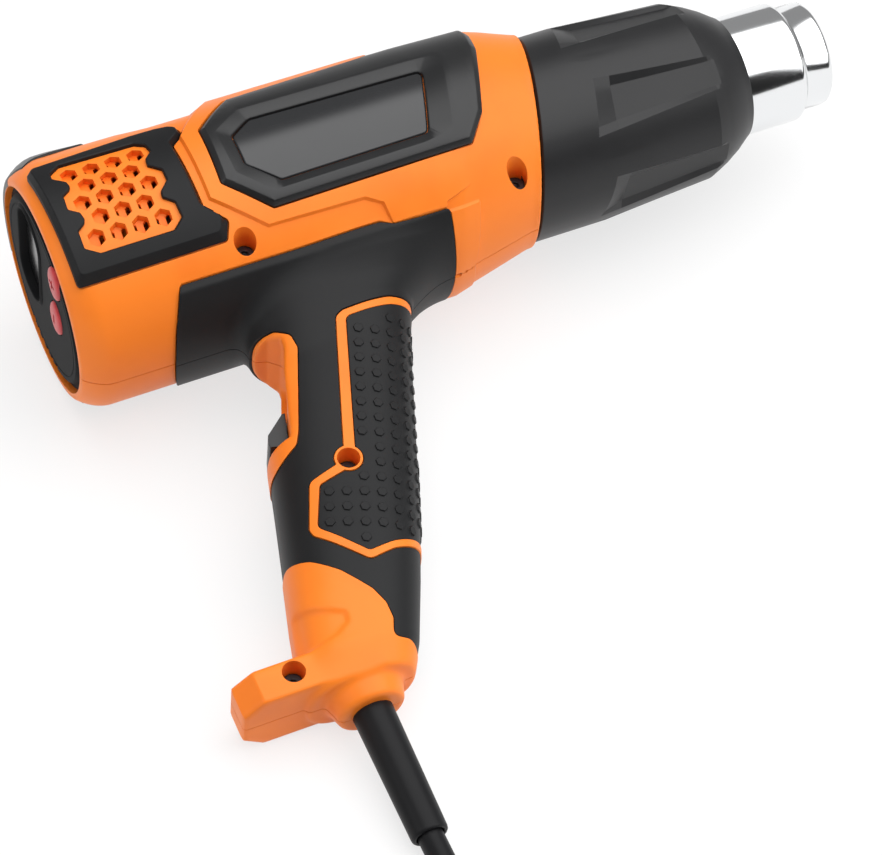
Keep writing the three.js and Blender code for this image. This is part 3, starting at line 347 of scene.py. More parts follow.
def copyOf(built, name="copy"):
    twin = bpy.data.objects.new(name, built.data.copy())
    bpy.context.scene.collection.objects.link(twin)
    return twin


def mirrored(built, name):
    twin = copyOf(built, name)
    twin.data.transform(Matrix.Scale(-1, 4, (0, 0, 1)))
    twin.data.flip_normals()
    return twin


# Smooth shading that keeps edges sharper than an angle
def shade(built, angle=30):
    for face in built.data.polygons:
        face.use_smooth = True
    shape = bmesh.new()
    shape.from_mesh(built.data)
    limit = math.radians(angle)
    for edge in shape.edges:
        if len(edge.link_faces) == 2:
            edge.smooth = edge.calc_face_angle(0) < limit
    shape.to_mesh(built.data)
    shape.free()


# Lays a finished piece on the floor with the tool, on its body and in its nodes' place
def place(built, replaced, body="housing", angle=30, finish=None):
    built.data.transform(toolMatrix @ Matrix.Scale(mm, 4))
    shade(built, angle)
    slot = slotOf[replaced[0]]
    built.data.materials.clear()
    built.data.materials.append(finishes[finish or slot])
    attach(built, body)
    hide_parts(*replaced)
    return built


# A corner's rounding takes at most a share of its sides; nearly straight or tiny ones stay as they are
rounding = {"share": 0.45, "straight": 0.12, "tiny": 0.05}


# Rounds the corners of an outline
def corners(outline, radius, steps=5):
    share = rounding["share"]
    points = [Vector(p) for p in outline]
    count = len(points)
    rounded = []
    for i, corner in enumerate(points):
        before = points[i - 1] - corner
        after = points[(i + 1) % count] - corner
        angle = before.angle(after)
        reach = radius / math.tan(angle / 2)
        reach = min(reach, share * before.length, share * after.length)
        if math.pi - angle < rounding["straight"] or reach < rounding["tiny"]:
            rounded.append(tuple(corner))
            continue
        a = corner + before.normalized() * reach
        b = corner + after.normalized() * reach
        for k in range(steps + 1):
            t = k / steps
            rounded.append(tuple(a * (1 - t) ** 2 + corner * (2 * t * (1 - t)) + b * t * t))
    return rounded


# The outline moved outwards, or inwards by a negative distance
def grown(outline, distance):
    area = sum(a[0] * b[1] - b[0] * a[1] for a, b in zip(outline, outline[1:] + outline[:1]))
    turn = math.copysign(1, area)
    moved = []
    count = len(outline)
    for i, p in enumerate(outline):
        d0 = (Vector(p) - Vector(outline[i - 1])).normalized()
        d1 = (Vector(outline[(i + 1) % count]) - Vector(p)).normalized()
        mitre = Vector((d0.y, -d0.x)) * turn + Vector((d1.y, -d1.x)) * turn
        scale = 2 * distance / max(mitre.length_squared, 0.6)
        moved.append((p[0] + mitre.x * scale, p[1] + mitre.y * scale))
    return moved


# Outlines on the tool's right side, as x and y; a Face lies at the top of its slope
outlines = {
    "band": [
        (34.2, -30.2), (99.8, -30.2), (104.2, -31.9), (122.9, -31.9), (122.4, -60), (31, -60), (31, -36.5),
    ],
    "grip": [
        (31, -36), (122.6, -36), (122.6, -60), (112, -100), (90, -150), (60, -169), (56.5, -160.4),
        (50.5, -159.3), (52.7, -154.1), (52.5, -149), (50.3, -143.7), (43.8, -134.9), (37, -128.1),
        (31, -124), (20, -124), (20, -60),
    ],
    "pad": [
        (76.1, -52.9), (78.8, -51.6), (94.8, -50.3), (120, -50.8), (100, -133), (70.4, -132.6),
        (61.9, -133.1), (53.5, -134.8), (41, -121), (40.6, -118.5), (46.7, -103.6), (56.4, -101.3),
        (60.6, -96.4),
    ],
    "padInner": [
        (78.8, -54.9), (80, -54), (94.8, -52.9), (121, -53.4), (101, -130.4), (71, -130.3), (62.8, -130.7),
        (54.4, -131.9), (44, -120), (43.4, -118.4), (49.2, -105.9), (57.6, -104.2), (64.4, -102),
        (64, -97.5),
    ],
    "thumb": [
        (25, -45), (48, -46.5), (52.4, -47.2), (57.5, -49.2), (61.3, -53.2), (61.6, -58.3), (50.9, -85.3),
        (48.6, -89.4), (40.7, -93), (25, -97),
    ],
    "scoop": [
        (25, -48.2), (50, -48.2), (55.5, -49.6), (58.6, -52.4), (58.2, -55.5), (55, -63.5), (48.3, -85.2),
        (25, -85.2),
    ],
    "pocket": [
        (25, -50.5), (53.5, -51), (59, -53.5), (60.5, -57.5), (59.5, -62), (57.1, -65.5), (52.1, -73.6),
        (25, -73.6),
    ],
    "dent": [
        (15, -141), (28, -140.3), (40.5, -147.6), (39.9, -151), (35.5, -153.6), (23, -155.5), (15, -155),
    ],
    "ridge": [
        (64, 60), (61.5, 30), (49.6, 13.9), (49.6, -12.3), (65.1, -24.7), (96.6, -25.2), (101.4, -27.2),
        (103, -33), (103.6, -37), (119, -37), (123, -31.2), (150, -26), (156, 20), (130, 33), (117.5, 34),
        (117.5, 60),
    ],
    "ridgeFace": [
        (74, 60), (66.2, 30), (51.2, 13.1), (51.2, -11.5), (65.7, -23), (97.2, -23.5), (102.6, -26),
        (104.6, -32.8), (105, -35.6), (119, -35.6), (122.6, -30), (148, -24.6), (153, 19.3), (129, 31.6),
        (116.4, 32.6), (116, 60),
    ],
    "collarPad": [(116, -31.4), (134.4, -31.4), (131.2, -60), (116, -60)],
    "collarPadFace": [(116, -32.5), (133.3, -32.5), (130.1, -60), (116, -60)],
    "panel": [
        (55.7, -8.4), (56.9, 13.3), (70.2, 25.8), (116, 27.4), (121, 30), (121.5, 60), (152.5, 60),
        (152.5, 22), (151, 13.8), (142.4, -10.6), (135.6, -18.7), (68.7, -19.6),
    ],
    "dish": [
        (61.3, -6.5), (61.1, 9.3), (71.2, 16.2), (138.7, 14.6), (130.6, -13.3), (121, -14.6), (70.5, -15),
    ],
    "window": [(65.2, -4.2), (65.4, 7.6), (73.2, 13.2), (131.2, 11.4), (123.6, -11.9), (74.2, -12.6)],
    "vent": [
        (2.2, 17.4), (4.2, 19), (37, 20.6), (45.2, 20.5), (49.7, 19.8), (52, 18), (52.1, 14.4),
        (47.6, 10.6), (48.2, -13.2), (54.3, -19.1), (52, -24.1), (3.6, -24.6),
    ],
    "ventFace": [
        (3.9, 16.6), (5, 17.4), (37, 19.1), (45, 19), (48.9, 18.3), (50.6, 17.2), (50.6, 14.9),
        (46.1, 11.2), (46.7, -12.6), (52, -17.4), (50.3, -21), (5.4, -21.4),
    ],
    "grille": [
        (8.6, 12.9), (8.4, 10.3), (11.9, 7.5), (12.3, 5.5), (11.6, 4.3), (9.1, 2.7), (8.7, -2.4),
        (11.8, -4.5), (12.3, -7), (11.7, -8.2), (9.1, -9.9), (9.1, -15.1), (13.4, -17.5), (37.1, -17.4),
        (40.6, -14.6), (40.2, -9.9), (37, -7.5), (37.3, -5.5), (40.5, -2.4), (40.5, 1.6), (36.9, 4.6),
        (37.3, 7.1), (40, 9.7), (39.4, 13.2), (36.5, 15.3), (12.3, 15.6),
    ],
}

# The tool's outer form as a distance field, sampled on a grid


def smoothMax(a, b, k):
    h = np.clip(0.5 + 0.5 * (a - b) / k, 0, 1)
    return b + (a - b) * h + k * h * (1 - h)


def smoothMin(a, b, k):
    return -smoothMax(-a, -b, k)


def rise(value, low, high):
    t = np.clip((value - low) / (high - low), 0, 1)
    return t * t * (3 - 2 * t)


# Distance to a closed outline, negative inside it
def outlineDistance(px, py, outline):
    px, py = np.broadcast_arrays(px, py)
    best = np.full(px.shape, 1e9)
    inside = np.zeros(px.shape, bool)
    for (ax, ay), (bx, by) in zip(outline, outline[1:] + outline[:1]):
        ex, ey = bx - ax, by - ay
        t = np.clip(((px - ax) * ex + (py - ay) * ey) / (ex * ex + ey * ey), 0, 1)
        best = np.minimum(best, np.hypot(px - ax - t * ex, py - ay - t * ey))
        crossing = (ay > py) != (by > py)
        with np.errstate(divide="ignore", invalid="ignore"):
            inside ^= crossing & (px < ex * (py - ay) / (ey if ey else 1e-9) + ax)
    return np.where(inside, -best, best)


handle = {
    "y": [-167, -158, -140, -124, -104, -85.5, -60, -48, -42, -36, -22],
    "rear": [21, 21.5, 26, 30.5, 36, 41, 49, 51.5, 51, 50, 49],
    "front": [55, 60.4, 68.5, 75.3, 83, 90, 99.5, 104.5, 112, 121, 123.5],
    "half": [13, 16, 17.5, 18, 18, 18, 18.5, 19.5, 20.5, 22, 24],
    "power": 2.6, "top": -20,
}
foot = {"end": 1.5, "front": 46, "top": -154.3, "bottom": -165.5, "half": 13, "endHalf": 7, "chamfer": 6.5}
cup = {"x": 38.7, "top": -156, "bottom": -173.4, "topRadius": 16, "bottomRadius": 10.2}


def barrelRadius(x, y):
    rear = 1 - (1 - np.clip(x / form["rearRound"], 0, 1)) ** 2
    start, end = (at + rake * y for at, rake in zip(form["taper"], form["taperRake"]))
    front = np.clip((x - start) / (end - start), 0, 1)
    radius = form["rearRim"] + (form["barrel"] - form["rearRim"]) * rear
    return radius - (form["barrel"] - form["collar"]) * front


def barrelField(x, y, z):
    lower = np.interp(x, *form["topDrop"]) * rise(y, *form["topFrom"])
    field = np.hypot(y, z) - barrelRadius(x, y) + lower
    field = smoothMax(field, -x, form["edge"])
    ahead = (x - form["collarX"] - form["rake"] * y) / math.hypot(1, form["rake"])
    return smoothMax(field, ahead, form["edge"])


def handleField(x, y, z):
    rear, front, half = (np.interp(y, handle["y"], handle[key]) for key in ("rear", "front", "half"))
    px = x - (front + rear) / 2
    a = (front - rear) / 2
    n = handle["power"]
    q = (np.abs(px / a) ** n + np.abs(z / half) ** n) ** (1 / n)
    field = np.hypot(px, z) * (1 - 1 / np.maximum(q, 0.05))
    field = smoothMax(field, handle["y"][0] - y, 1.5)
    return smoothMax(field, y - handle["top"], 1)


def footField(x, y, z):
    end, front, half, endHalf = (foot[key] for key in ("end", "front", "half", "endHalf"))
    side = [(end, -endHalf), (end + foot["chamfer"], -half), (front, -half)]
    flat = outlineDistance(x, z, side + [(px, -pz) for px, pz in reversed(side)])
    return smoothMax(flat, smoothMax(y - foot["top"], foot["bottom"] - y, 1.2), 1.5)


def cupField(x, y, z):
    radius = np.interp(y, [cup["bottom"], cup["top"]], [cup["bottomRadius"], cup["topRadius"]])
    around = np.hypot(x - cup["x"], z) - radius
    return smoothMax(around, smoothMax(y - cup["top"], cup["bottom"] - y, 1), 1.5)


# How softly the forms run into each other; the handle's root widens to the front
blend = {"root": 5, "wider": 4, "along": (70, 100), "foot": 1.6, "cup": 1.5, "scoop": 1.2, "pocket": 2}
thumb = {"half": 12.5, "round": 1.6}
dent = {"depth": 1.1, "edge": 1.3, "from": 5, "to": 9}


def outerField(x, y, z):
    root = blend["root"] + blend["wider"] * rise(x, *blend["along"])
    field = smoothMin(barrelField(x, y, z), handleField(x, y, z), root)
    inDent = rise(-outlineDistance(x, y, outlines["dent"]), -0.6, dent["edge"])
    field = field + dent["depth"] * inDent * rise(z, dent["from"], dent["to"])
    field = smoothMin(field, footField(x, y, z), blend["foot"])
    field = smoothMin(field, cupField(x, y, z), blend["cup"])
    field = smoothMax(field, -outlineDistance(x, y, outlines["scoop"]), blend["scoop"])
    across = np.abs(z) - thumb["half"]
    pocket = smoothMax(outlineDistance(x, y, outlines["pocket"]), across, blend["pocket"])
    return smoothMax(field, -pocket, thumb["round"])


# The soft parts lie a little below the housing, and the band under the barrel stands proud of it
soft = {"sunk": 0.3, "proud": 0.9, "ledge": 2.4, "fade": (-62, -42)}


def softField(x, y, z):
    edge = np.clip((outlines["band"][0][1] - y) / soft["ledge"], 0, 1)
    proud = (soft["sunk"] + soft["proud"]) * edge * rise(y, *soft["fade"])
    return outerField(x, y, z) + soft["sunk"] - proud


grids = {
    "outer": ((-6, -182, -7), (186, 46, 50)), "soft": ((10, -182, -7), (132, -20, 50)),
    "cell": 0.9, "past": 2.4,
    "skin": 1.8, "recess": 2.1, "shell": 3.3,  # depths of the inner forms
    "calm": 0.4,  # how far the unseen inner wall is simplified
    "near": 0.5, "closing": -1,  # points within near are settled, unless they lie below closing
}


# Only the right half is sampled, a little past the mid-plane
def halfField(x, y, z):
    return np.maximum(outerField(x, y, z), -grids["past"] - z)


# The soft form is closed a little inside its box
def softHalfField(x, y, z):
    low, high = grids["soft"]
    sides = np.maximum(np.maximum(low[0] + 2 - x, x - high[0] + 2), y - high[1] + 2)
    return np.maximum(softField(x, y, z), np.maximum(sides, -grids["past"] - z))


def sampleField(field, low, high):
    axes = [np.arange(a, b, grids["cell"]) for a, b in zip(low, high)]
    x, y, z = np.meshgrid(*axes, indexing="ij", sparse=True)
    grid = openvdb.FloatGrid()
    grid.copyFromArray(np.ascontiguousarray(field(x, y, z), dtype=np.float32))
    return grid, low


# The closed surface at a depth below a sampled form's zero surface. Given the field itself, points near
# that surface and off the closing planes are settled onto it.
def levelSet(name, grid, field=None, depth=0.0, adaptivity=0.0):
    samples, low = grid
    points, triangles, quads = samples.convertToPolygons(isovalue=-depth, adaptivity=adaptivity)
    points = np.asarray(points) * grids["cell"] + np.array(low)
    if field:
        near = (points[:, 2] > grids["closing"]) & (np.abs(field(*points.T)) < grids["near"])
        points[near] = settled(points[near], field)
    faces = [tuple(int(i) for i in f) for f in triangles] + [tuple(int(i) for i in f) for f in quads]
    return outward(solid(name, points, faces))


def slopeOf(field, x, y, z, h=0.05):
    return np.stack([
        field(x + h, y, z) - field(x - h, y, z),
        field(x, y + h, z) - field(x, y - h, z),
        field(x, y, z + h) - field(x, y, z - h),
    ], axis=1) / (2 * h)


# Points moved onto the field's zero surface
def settled(points, field):
    for _ in range(3):
        slope = slopeOf(field, *points.T)
        length = np.maximum((slope**2).sum(1), 0.25)
        points = points - slope * (field(*points.T) / length)[:, None]
    return points


outerGrid = sampleField(halfField, *grids["outer"])
softGrid = sampleField(softHalfField, *grids["soft"])
outer = levelSet("outer", outerGrid, outerField)
softOuter = levelSet("softOuter", softGrid, softField)
print("outer form:", len(outer.data.polygons), "faces")
skinCore = levelSet("skinCore", outerGrid, depth=grids["skin"])
recessCore = levelSet("recessCore", outerGrid, depth=grids["recess"])
shellCore = levelSet("shellCore", outerGrid, depth=grids["shell"], adaptivity=grids["calm"])
print("inner forms made")

reach = 60  # past the tool's side, for the cutters
screws = {
    "rear": (57.2, -25.2, 31.4), "front": (148.6, -26, 24),
    "handle": (60.6, -100.6, 18), "foot": (19.4, -158.9, 13),
}
screw = {"hole": 3.5, "ring": 4.6, "depth": 9.2, "column": 4.5, "columnTop": 4}


def region(name, key, grow=0.0, radius=2.0, low=seam):
    outline = corners(outlines[key], radius)
    return prism(name, grown(outline, grow), low, reach)


def circle(x, y, radius, count=40):
    steps = [2 * math.pi * i / count for i in range(count)]
    return [(x + radius * math.cos(a), y + radius * math.sin(a)) for a in steps]


def gripRegion(grow):
    area = boolean(region("gripRegion", "band", grow, 1.5), "UNION", region("cutter", "grip", grow, 3))
    return boolean(area, "DIFFERENCE", region("cutter", "pad", -grow, 3), region("cutter", "thumb", -grow, 3))


def screwTool(key, radius=screw["hole"]):
    x, y, z = screws[key]
    return prism("hole", circle(x, y, radius), z - screw["depth"], reach)


def makeOvermould():
    skin = boolean(copyOf(softOuter), "DIFFERENCE", skinCore, keep=True)
    boolean(skin, "INTERSECT", gripRegion(-fit / 2))
    return boolean(skin, "DIFFERENCE", screwTool("handle", screw["ring"]))


# A tree that puts one six-sided plug on each point, turned towards the point's "facing"
def plugTree(title):
    tree = bpy.data.node_groups.new(title, "GeometryNodeTree")
    kinds = {"Geometry": "Geometry", "Base": "Float", "Top": "Float", "Depth": "Float", "Finish": "Material"}
    ids = {}
    for label, kind in kinds.items():
        socket = tree.interface.new_socket(label, in_out="INPUT", socket_type="NodeSocket" + kind)
        ids[label] = socket.identifier
    tree.interface.new_socket("Geometry", in_out="OUTPUT", socket_type="NodeSocketGeometry")
    parts = {
        "given": "NodeGroupInput", "plug": "GeometryNodeMeshCone", "level": "GeometryNodeTransform",
        "facing": "GeometryNodeInputNamedAttribute", "aim": "FunctionNodeAlignRotationToVector",
        "spread": "GeometryNodeInstanceOnPoints", "whole": "GeometryNodeRealizeInstances",
        "coat": "GeometryNodeSetMaterial", "result": "NodeGroupOutput",
    }
    node = {key: tree.nodes.new(kind) for key, kind in parts.items()}
    node["plug"].inputs["Vertices"].default_value = 6
    node["level"].inputs["Rotation"].default_value = (0, 0, math.radians(30))
    node["facing"].data_type = "FLOAT_VECTOR"
    node["facing"].inputs["Name"].default_value = "facing"
    links = [
        ("given", "Base", "plug", "Radius Bottom"), ("given", "Top", "plug", "Radius Top"),
        ("given", "Depth", "plug", "Depth"), ("plug", "Mesh", "level", "Geometry"),
        ("facing", "Attribute", "aim", "Vector"), ("given", "Geometry", "spread", "Points"),
        ("level", "Geometry", "spread", "Instance"), ("aim", "Rotation", "spread", "Rotation"),
        ("spread", "Instances", "whole", "Geometry"), ("whole", "Geometry", "coat", "Geometry"),
        ("given", "Finish", "coat", "Material"), ("coat", "Geometry", "result", "Geometry"),
    ]
    for a, out, b, into in links:
        tree.links.new(node[a].outputs[out], node[b].inputs[into])
    return tree, ids


def plugs(title, points, facing, sizes, finish):
    tree, ids = plugTree(title)
    built = solid(title, points, [])
    attribute = built.data.attributes.new("facing", "FLOAT_VECTOR", "POINT")
    attribute.data.foreach_set("vector", np.asarray(facing, np.float32).ravel())
    modifier = built.modifiers.new("plugs", "NODES")
    modifier.node_group = tree
    for label, value in {**sizes, "Finish": finish}.items():
        modifier[ids[label]] = value
    bpy.context.view_layer.update()
    return applied(built)


bumps = {
    "start": (63.7, -119.5, 17), "pitch": 5.25, "across": 2.9, "height": 0.45, "sunk": 0.7, "rows": (-13, 3),
    "columns": 5, "margin": 2.3, "fromSeam": 0.6, "flank": 0.15, "down": (-0.354, -0.935),
}


def unit(vectors):
    return vectors / np.linalg.norm(vectors, axis=1)[:, None]


# Rows of points that walk across the pad, square to its columns, both ways from the start column
def bumpPoints():
    down = Vector((*bumps["down"], 0)).normalized()
    rows = np.arange(*bumps["rows"])
    steps = 20  # from one column to the next
    found = []
    for way in (1, -1):
        points = np.array([bumps["start"]] * len(rows)) + rows[:, None] * bumps["pitch"] * np.array(down)
        points = pressed(points)
        for column in range(bumps["columns"]):
            if column or way == 1:
                found.append(points)
            for _ in range(steps):
                normal = unit(slopeOf(softField, *points.T))
                along = unit(np.cross(normal, np.array(down)) * way)
                points = points + along * bumps["pitch"] / steps
                points = points - normal * softField(*points.T)[:, None]
    points = np.concatenate(found)
    x, y, z = points.T
    inside = outlineDistance(x, y, outlines["padInner"]) < -bumps["margin"]
    clear = np.hypot(x - screws["handle"][0], y - screws["handle"][1]) > screw["ring"] + bumps["margin"]
    points = points[inside & clear & (z > bumps["across"] / 2 + bumps["fromSeam"])]
    return points, unit(slopeOf(softField, *points.T))


# Points moved along z onto the soft surface
def pressed(points):
    for _ in range(12):
        points[:, 2] -= softField(*points.T)
    return points


def makePad():
    skin = boolean(copyOf(softOuter), "DIFFERENCE", skinCore, keep=True)
    boolean(skin, "INTERSECT", region("cutter", "padInner", -fit / 2, 2))
    boolean(skin, "DIFFERENCE", screwTool("handle", screw["ring"]))
    points, facing = bumpPoints()
    base, flank = bumps["across"] / math.sqrt(3), bumps["flank"]
    sizes = {"Base": base + flank, "Top": base - flank, "Depth": bumps["height"] + bumps["sunk"]}
    raised = plugs("gripBumps", points - facing * bumps["sunk"], facing, sizes, finishes["soft_grip"])
    print("grip bumps:", len(points))
    return boolean(skin, "UNION", raised)


# A tube round the whole barrel
def layer(name, outerRadius, innerRadius):
    return turned(name, [(-2, innerRadius), (-2, outerRadius), (180, outerRadius), (180, innerRadius)], 180)


# Plates that follow the barrel, with bevelled edges. Each loop is an outline and how far the surface
# falls there; the loops are unrolled, joined by a Delaunay triangulation and rolled up again.

rollRadius = form["barrel"]
plateGrid = {"step": 2.2, "clear": 0.8, "end": 89.85, "past": 0.03}  # end is an angle, past is in radians


def unrolled(outline):
    limit = rollRadius * math.sin(math.radians(plateGrid["end"]))
    return [(x, rollRadius * math.asin(max(-limit, min(limit, y)) / rollRadius)) for x, y in outline]


# For housing forms and their cutters, which run on past the mid-plane
def unrolledPast(outline):
    end = rollRadius * (math.pi / 2 + plateGrid["past"])
    moved = unrolled(outline)
    for i, (x, y) in enumerate(outline):
        if abs(y) > rollRadius - 0.1:
            moved[i] = (x, math.copysign(end, y))
    return moved


def dense(outline, step=1.2):
    points = []
    for a, b in zip(outline, outline[1:] + outline[:1]):
        a, b = Vector(a), Vector(b)
        pieces = max(1, round((b - a).length / step))
        points += [tuple(a.lerp(b, i / pieces)) for i in range(pieces)]
    return points


# The radii of the top and the bottom are numbers or functions of x and the angle from the side
def barrelPlate(name, loops, top, bottom, hole=(), rolled=False):
    loops = [(dense(outline if rolled else unrolled(outline)), fall) for outline, fall in loops]
    hole = [(dense(unrolled(outline)), fall) for outline, fall in hole]
    points = []
    falls = []
    edges = []
    for loop, fall in loops + hole:
        start = len(points)
        points += loop
        falls += [fall] * len(loop)
        edges += [(start + i, start + (i + 1) % len(loop)) for i in range(len(loop))]
    step, clear = plateGrid["step"], plateGrid["clear"]
    px, py = np.array(points).T
    gx, gy = np.meshgrid(np.arange(px.min(), px.max(), step), np.arange(py.min(), py.max(), step))
    gx, gy = gx.ravel(), gy.ravel()
    free = outlineDistance(gx, gy, loops[-1][0]) < -clear
    if hole:
        free &= outlineDistance(gx, gy, hole[0][0]) > clear
    face = loops[-1][1]
    points += list(zip(gx[free], gy[free]))
    falls += [face] * int(free.sum())
    flat, _, triangles, source, _, _ = delaunay_2d_cdt([Vector(p) for p in points], edges, [], 1, 1e-6)
    fx, fs = np.array([tuple(p) for p in flat]).T
    fall = np.array([falls[origin[0]] if origin else face for origin in source])
    tris = np.array(triangles)
    cx, cy = fx[tris].mean(1), fs[tris].mean(1)
    inside = outlineDistance(cx, cy, loops[0][0]) < 0
    if hole:
        inside &= outlineDistance(cx, cy, hole[-1][0]) > 0
    tris = tris[inside]
    angle = fs / rollRadius

    def around(r):
        return np.stack([fx, r * np.sin(angle), r * np.cos(angle)], 1)

    def level(radius):
        return radius(fx, angle) if callable(radius) else np.full(fx.shape, float(radius))

    upper = around(level(top) - fall)
    lower = around(level(bottom))
    count = len(fx)
    faces = [tuple(t) for t in tris] + [tuple(t[::-1] + count) for t in tris]
    sides = set()
    for t in tris:
        for a, b in ((t[0], t[1]), (t[1], t[2]), (t[2], t[0])):
            if (b, a) in sides:
                sides.remove((b, a))
            else:
                sides.add((a, b))
    faces += [(b, a, a + count, b + count) for a, b in sorted(sides)]
    return outward(solid(name, np.concatenate([upper, lower]), faces))


# A plate's slopes: how far its outline grows, and how far the surface falls there
def slopes(outline, *steps):
    return [(grown(outline, by), fall) for by, fall in steps]


plates = {
    "top": 42.3, "bottom": 38.8, "window": 39.9, "grille": 41.0, "ridge": 1.1, "pad": 0.7,
    "droop": (0.8, [127, 154]), "wrapDrop": (2.5, 27, 37),  # the panel falls to the front and over the top
    "ridgeSink": (1.6, 116, 142),
}


def wrapDrop(angle):
    by, start, end = plates["wrapDrop"]
    return by * rise(angle * rollRadius, start, end)


def panelTop(x, angle):
    by, along = plates["droop"]
    return plates["top"] - np.interp(x, along, [0, by]) - wrapDrop(angle)


def panelBottom(x, angle):
    return plates["bottom"] - wrapDrop(angle)


def ridgeTop(x, angle):
    by, start, end = plates["ridgeSink"]
    return barrelRadius(x, form["barrel"] * np.sin(angle)) + plates["ridge"] - by * rise(x, start, end)


def padTop(x, angle):
    return barrelRadius(x, form["barrel"] * np.sin(angle)) + plates["pad"]


# The black plate over the top of the rear rim, in rolled coordinates
trim = {
    "side": [(0.05, 41), (1.4, 36), (4, 30), (14, 32.5), (25.5, 35.5)], "edge": 0.4,
    "over": ([0, 14, 26], [0.3, 0.3, -0.35]),  # height over the barrel
    "under": ([0, 3.4, 4.6, 26], [33.9, 33.9, 38, 38.3]),  # radius of its underside
}


def trimTop(x, angle):
    return barrelRadius(x, 0) + np.interp(x, *trim["over"])


def trimBottom(x, angle):
    return np.interp(x, *trim["under"])


def trimPlate(grow=0.0):
    far = math.pi * rollRadius
    outline = trim["side"] + [(x, far - s) for x, s in reversed(trim["side"])]
    loops = slopes(grown(outline, grow), (0, trim["edge"]), (-0.5, 0))
    return barrelPlate("crownTrim", loops, trimTop, trimBottom, rolled=True)


housing = {
    "underPanel": [(118, 31.3), (118, 38.5), (152.5, 38.5), (152.5, 31.3)],  # below the panel on the taper
    "falls": {"ridge": 2.4, "collarPad": 1.4}, "raisedFrom": 30,
    "half": [(-5, -200), (200, -200), (200, 60), (-5, 60)],
    "bedReach": 8, "openingReach": 6, "openingFloor": 28,
    "coverRoom": [(-3, 0), (-3, 33.7), (2.9, 33.7), (2.9, 31.5), (6, 31.5), (6, 0)],
}


def makeHousing():
    raised = []
    for key, top in (("ridge", ridgeTop), ("collarPad", padTop)):
        falls = {key: housing["falls"][key], key + "Face": 0}
        loops = [(unrolledPast(outlines[name]), fall) for name, fall in falls.items()]
        raised.append(barrelPlate("raised", loops, top, housing["raisedFrom"], rolled=True))
    under = turned("underPanel", housing["underPanel"], 180)
    boolean(under, "INTERSECT", region("cutter", "panel", fit / 2, 2))
    shell = boolean(copyOf(outer), "UNION", under, *raised)
    boolean(shell, "DIFFERENCE", shellCore, keep=True)
    columns = []
    for x, y, z in screws.values():
        column = prism("column", circle(x, y, screw["column"]), seam, z + screw["columnTop"])
        columns.append(boolean(column, "INTERSECT", outer, keep=True))
    boolean(shell, "UNION", *columns)
    boolean(shell, "INTERSECT", prism("half", housing["half"], seam, reach + 20))
    recess = boolean(gripRegion(fit / 2), "UNION", region("cutter", "padInner", fit / 2, 2))
    boolean(recess, "DIFFERENCE", recessCore, keep=True)
    boolean(recess, "DIFFERENCE", screwTool("handle", screw["ring"] - fit))
    beds = []
    for key, bottom in (("panel", panelBottom), ("vent", plates["bottom"])):
        outline = grown(corners(outlines[key], 1.5), fit / 2)
        loops = [(unrolledPast(outline), 0), (unrolledPast(grown(outline, -0.5)), 0)]
        beds.append(barrelPlate("bed", loops, form["barrel"] + housing["bedReach"], bottom, rolled=True))
    beds.append(trimPlate(fit / 2))
    opening = layer("opening", form["barrel"] + housing["openingReach"], housing["openingFloor"])
    boolean(opening, "INTERSECT", region("cutter", "grille", 0.4, 0.7, low=-1))
    room = turned("coverRoom", housing["coverRoom"])
    return boolean(shell, "DIFFERENCE", recess, *beds, opening, room, *[screwTool(key) for key in screws])


def makePanel():
    edge = grown(corners(outlines["panel"], 2.0), -fit / 2)
    loops = slopes(edge, (0, 2.2), (-0.15, 1.3), (-1.5, 0.15), (-1.9, 0))
    hole = slopes(corners(outlines["dish"], 2.5), (0.3, 0), (0, 0.08))
    hole += slopes(corners(outlines["window"], 2.5), (0.3, 1.75), (0, 2.1))
    return barrelPlate("sidePanel", loops, panelTop, panelBottom, hole)


def makeWindow():
    edge = grown(corners(outlines["window"], 2.5), -fit)
    return barrelPlate("panelWindow", slopes(edge, (0, 0.3), (-0.5, 0)), plates["window"], plates["bottom"])


def makeVentFrame():
    edge = grown(corners(outlines["vent"], 1.5), -fit / 2)
    loops = slopes(edge, (0, 3.2), (-0.12, 2.0))
    loops += slopes(corners(outlines["ventFace"], 1.5), (0.3, 0.14), (0, 0))
    hole = slopes(corners(outlines["grille"], 0.7, 3), (0.35, 0), (0, 0.3))
    return barrelPlate("ventFrame", loops, plates["top"], plates["bottom"], hole)


honeycomb = {
    "pitch": 7.15, "rise": 6.05, "across": 4.9, "x": 24.6, "y": -1.0, "rows": (4, 3, 4, 3, 4), "from": 20,
    "depth": 30, "layers": [(0, 2.6, 0), (2.6, 3.8, 3.5)],  # from and to below the face, and set over
}


# Two layers: the holes of the inner one are set over, so most of each hole shows it as a floor
def makeGrille():
    top = plates["grille"]
    outline = grown(corners(outlines["grille"], 0.7, 3), 0.1)
    layers = []
    for above, below, over in honeycomb["layers"]:
        plate = layer("ventGrille", top - above, top - below)
        boolean(plate, "INTERSECT", prism("cutter", outline, 1, reach))
        centres = []
        for row, count in enumerate(honeycomb["rows"]):
            y = honeycomb["y"] + (2 - row) * honeycomb["rise"]
            for i in range(count):
                x = honeycomb["x"] + (i - (count - 1) / 2) * honeycomb["pitch"]
                centres.append((x + over, y, honeycomb["from"]))
        radius = honeycomb["across"] / math.sqrt(3)
        sizes = {"Base": radius, "Top": radius, "Depth": honeycomb["depth"]}
        holes = plugs("grilleHoles", centres, [(0, 0, 1)] * len(centres), sizes, finishes["housing"])
        layers.append(boolean(plate, "DIFFERENCE", holes))
    return boolean(layers[0], "UNION", layers[1])


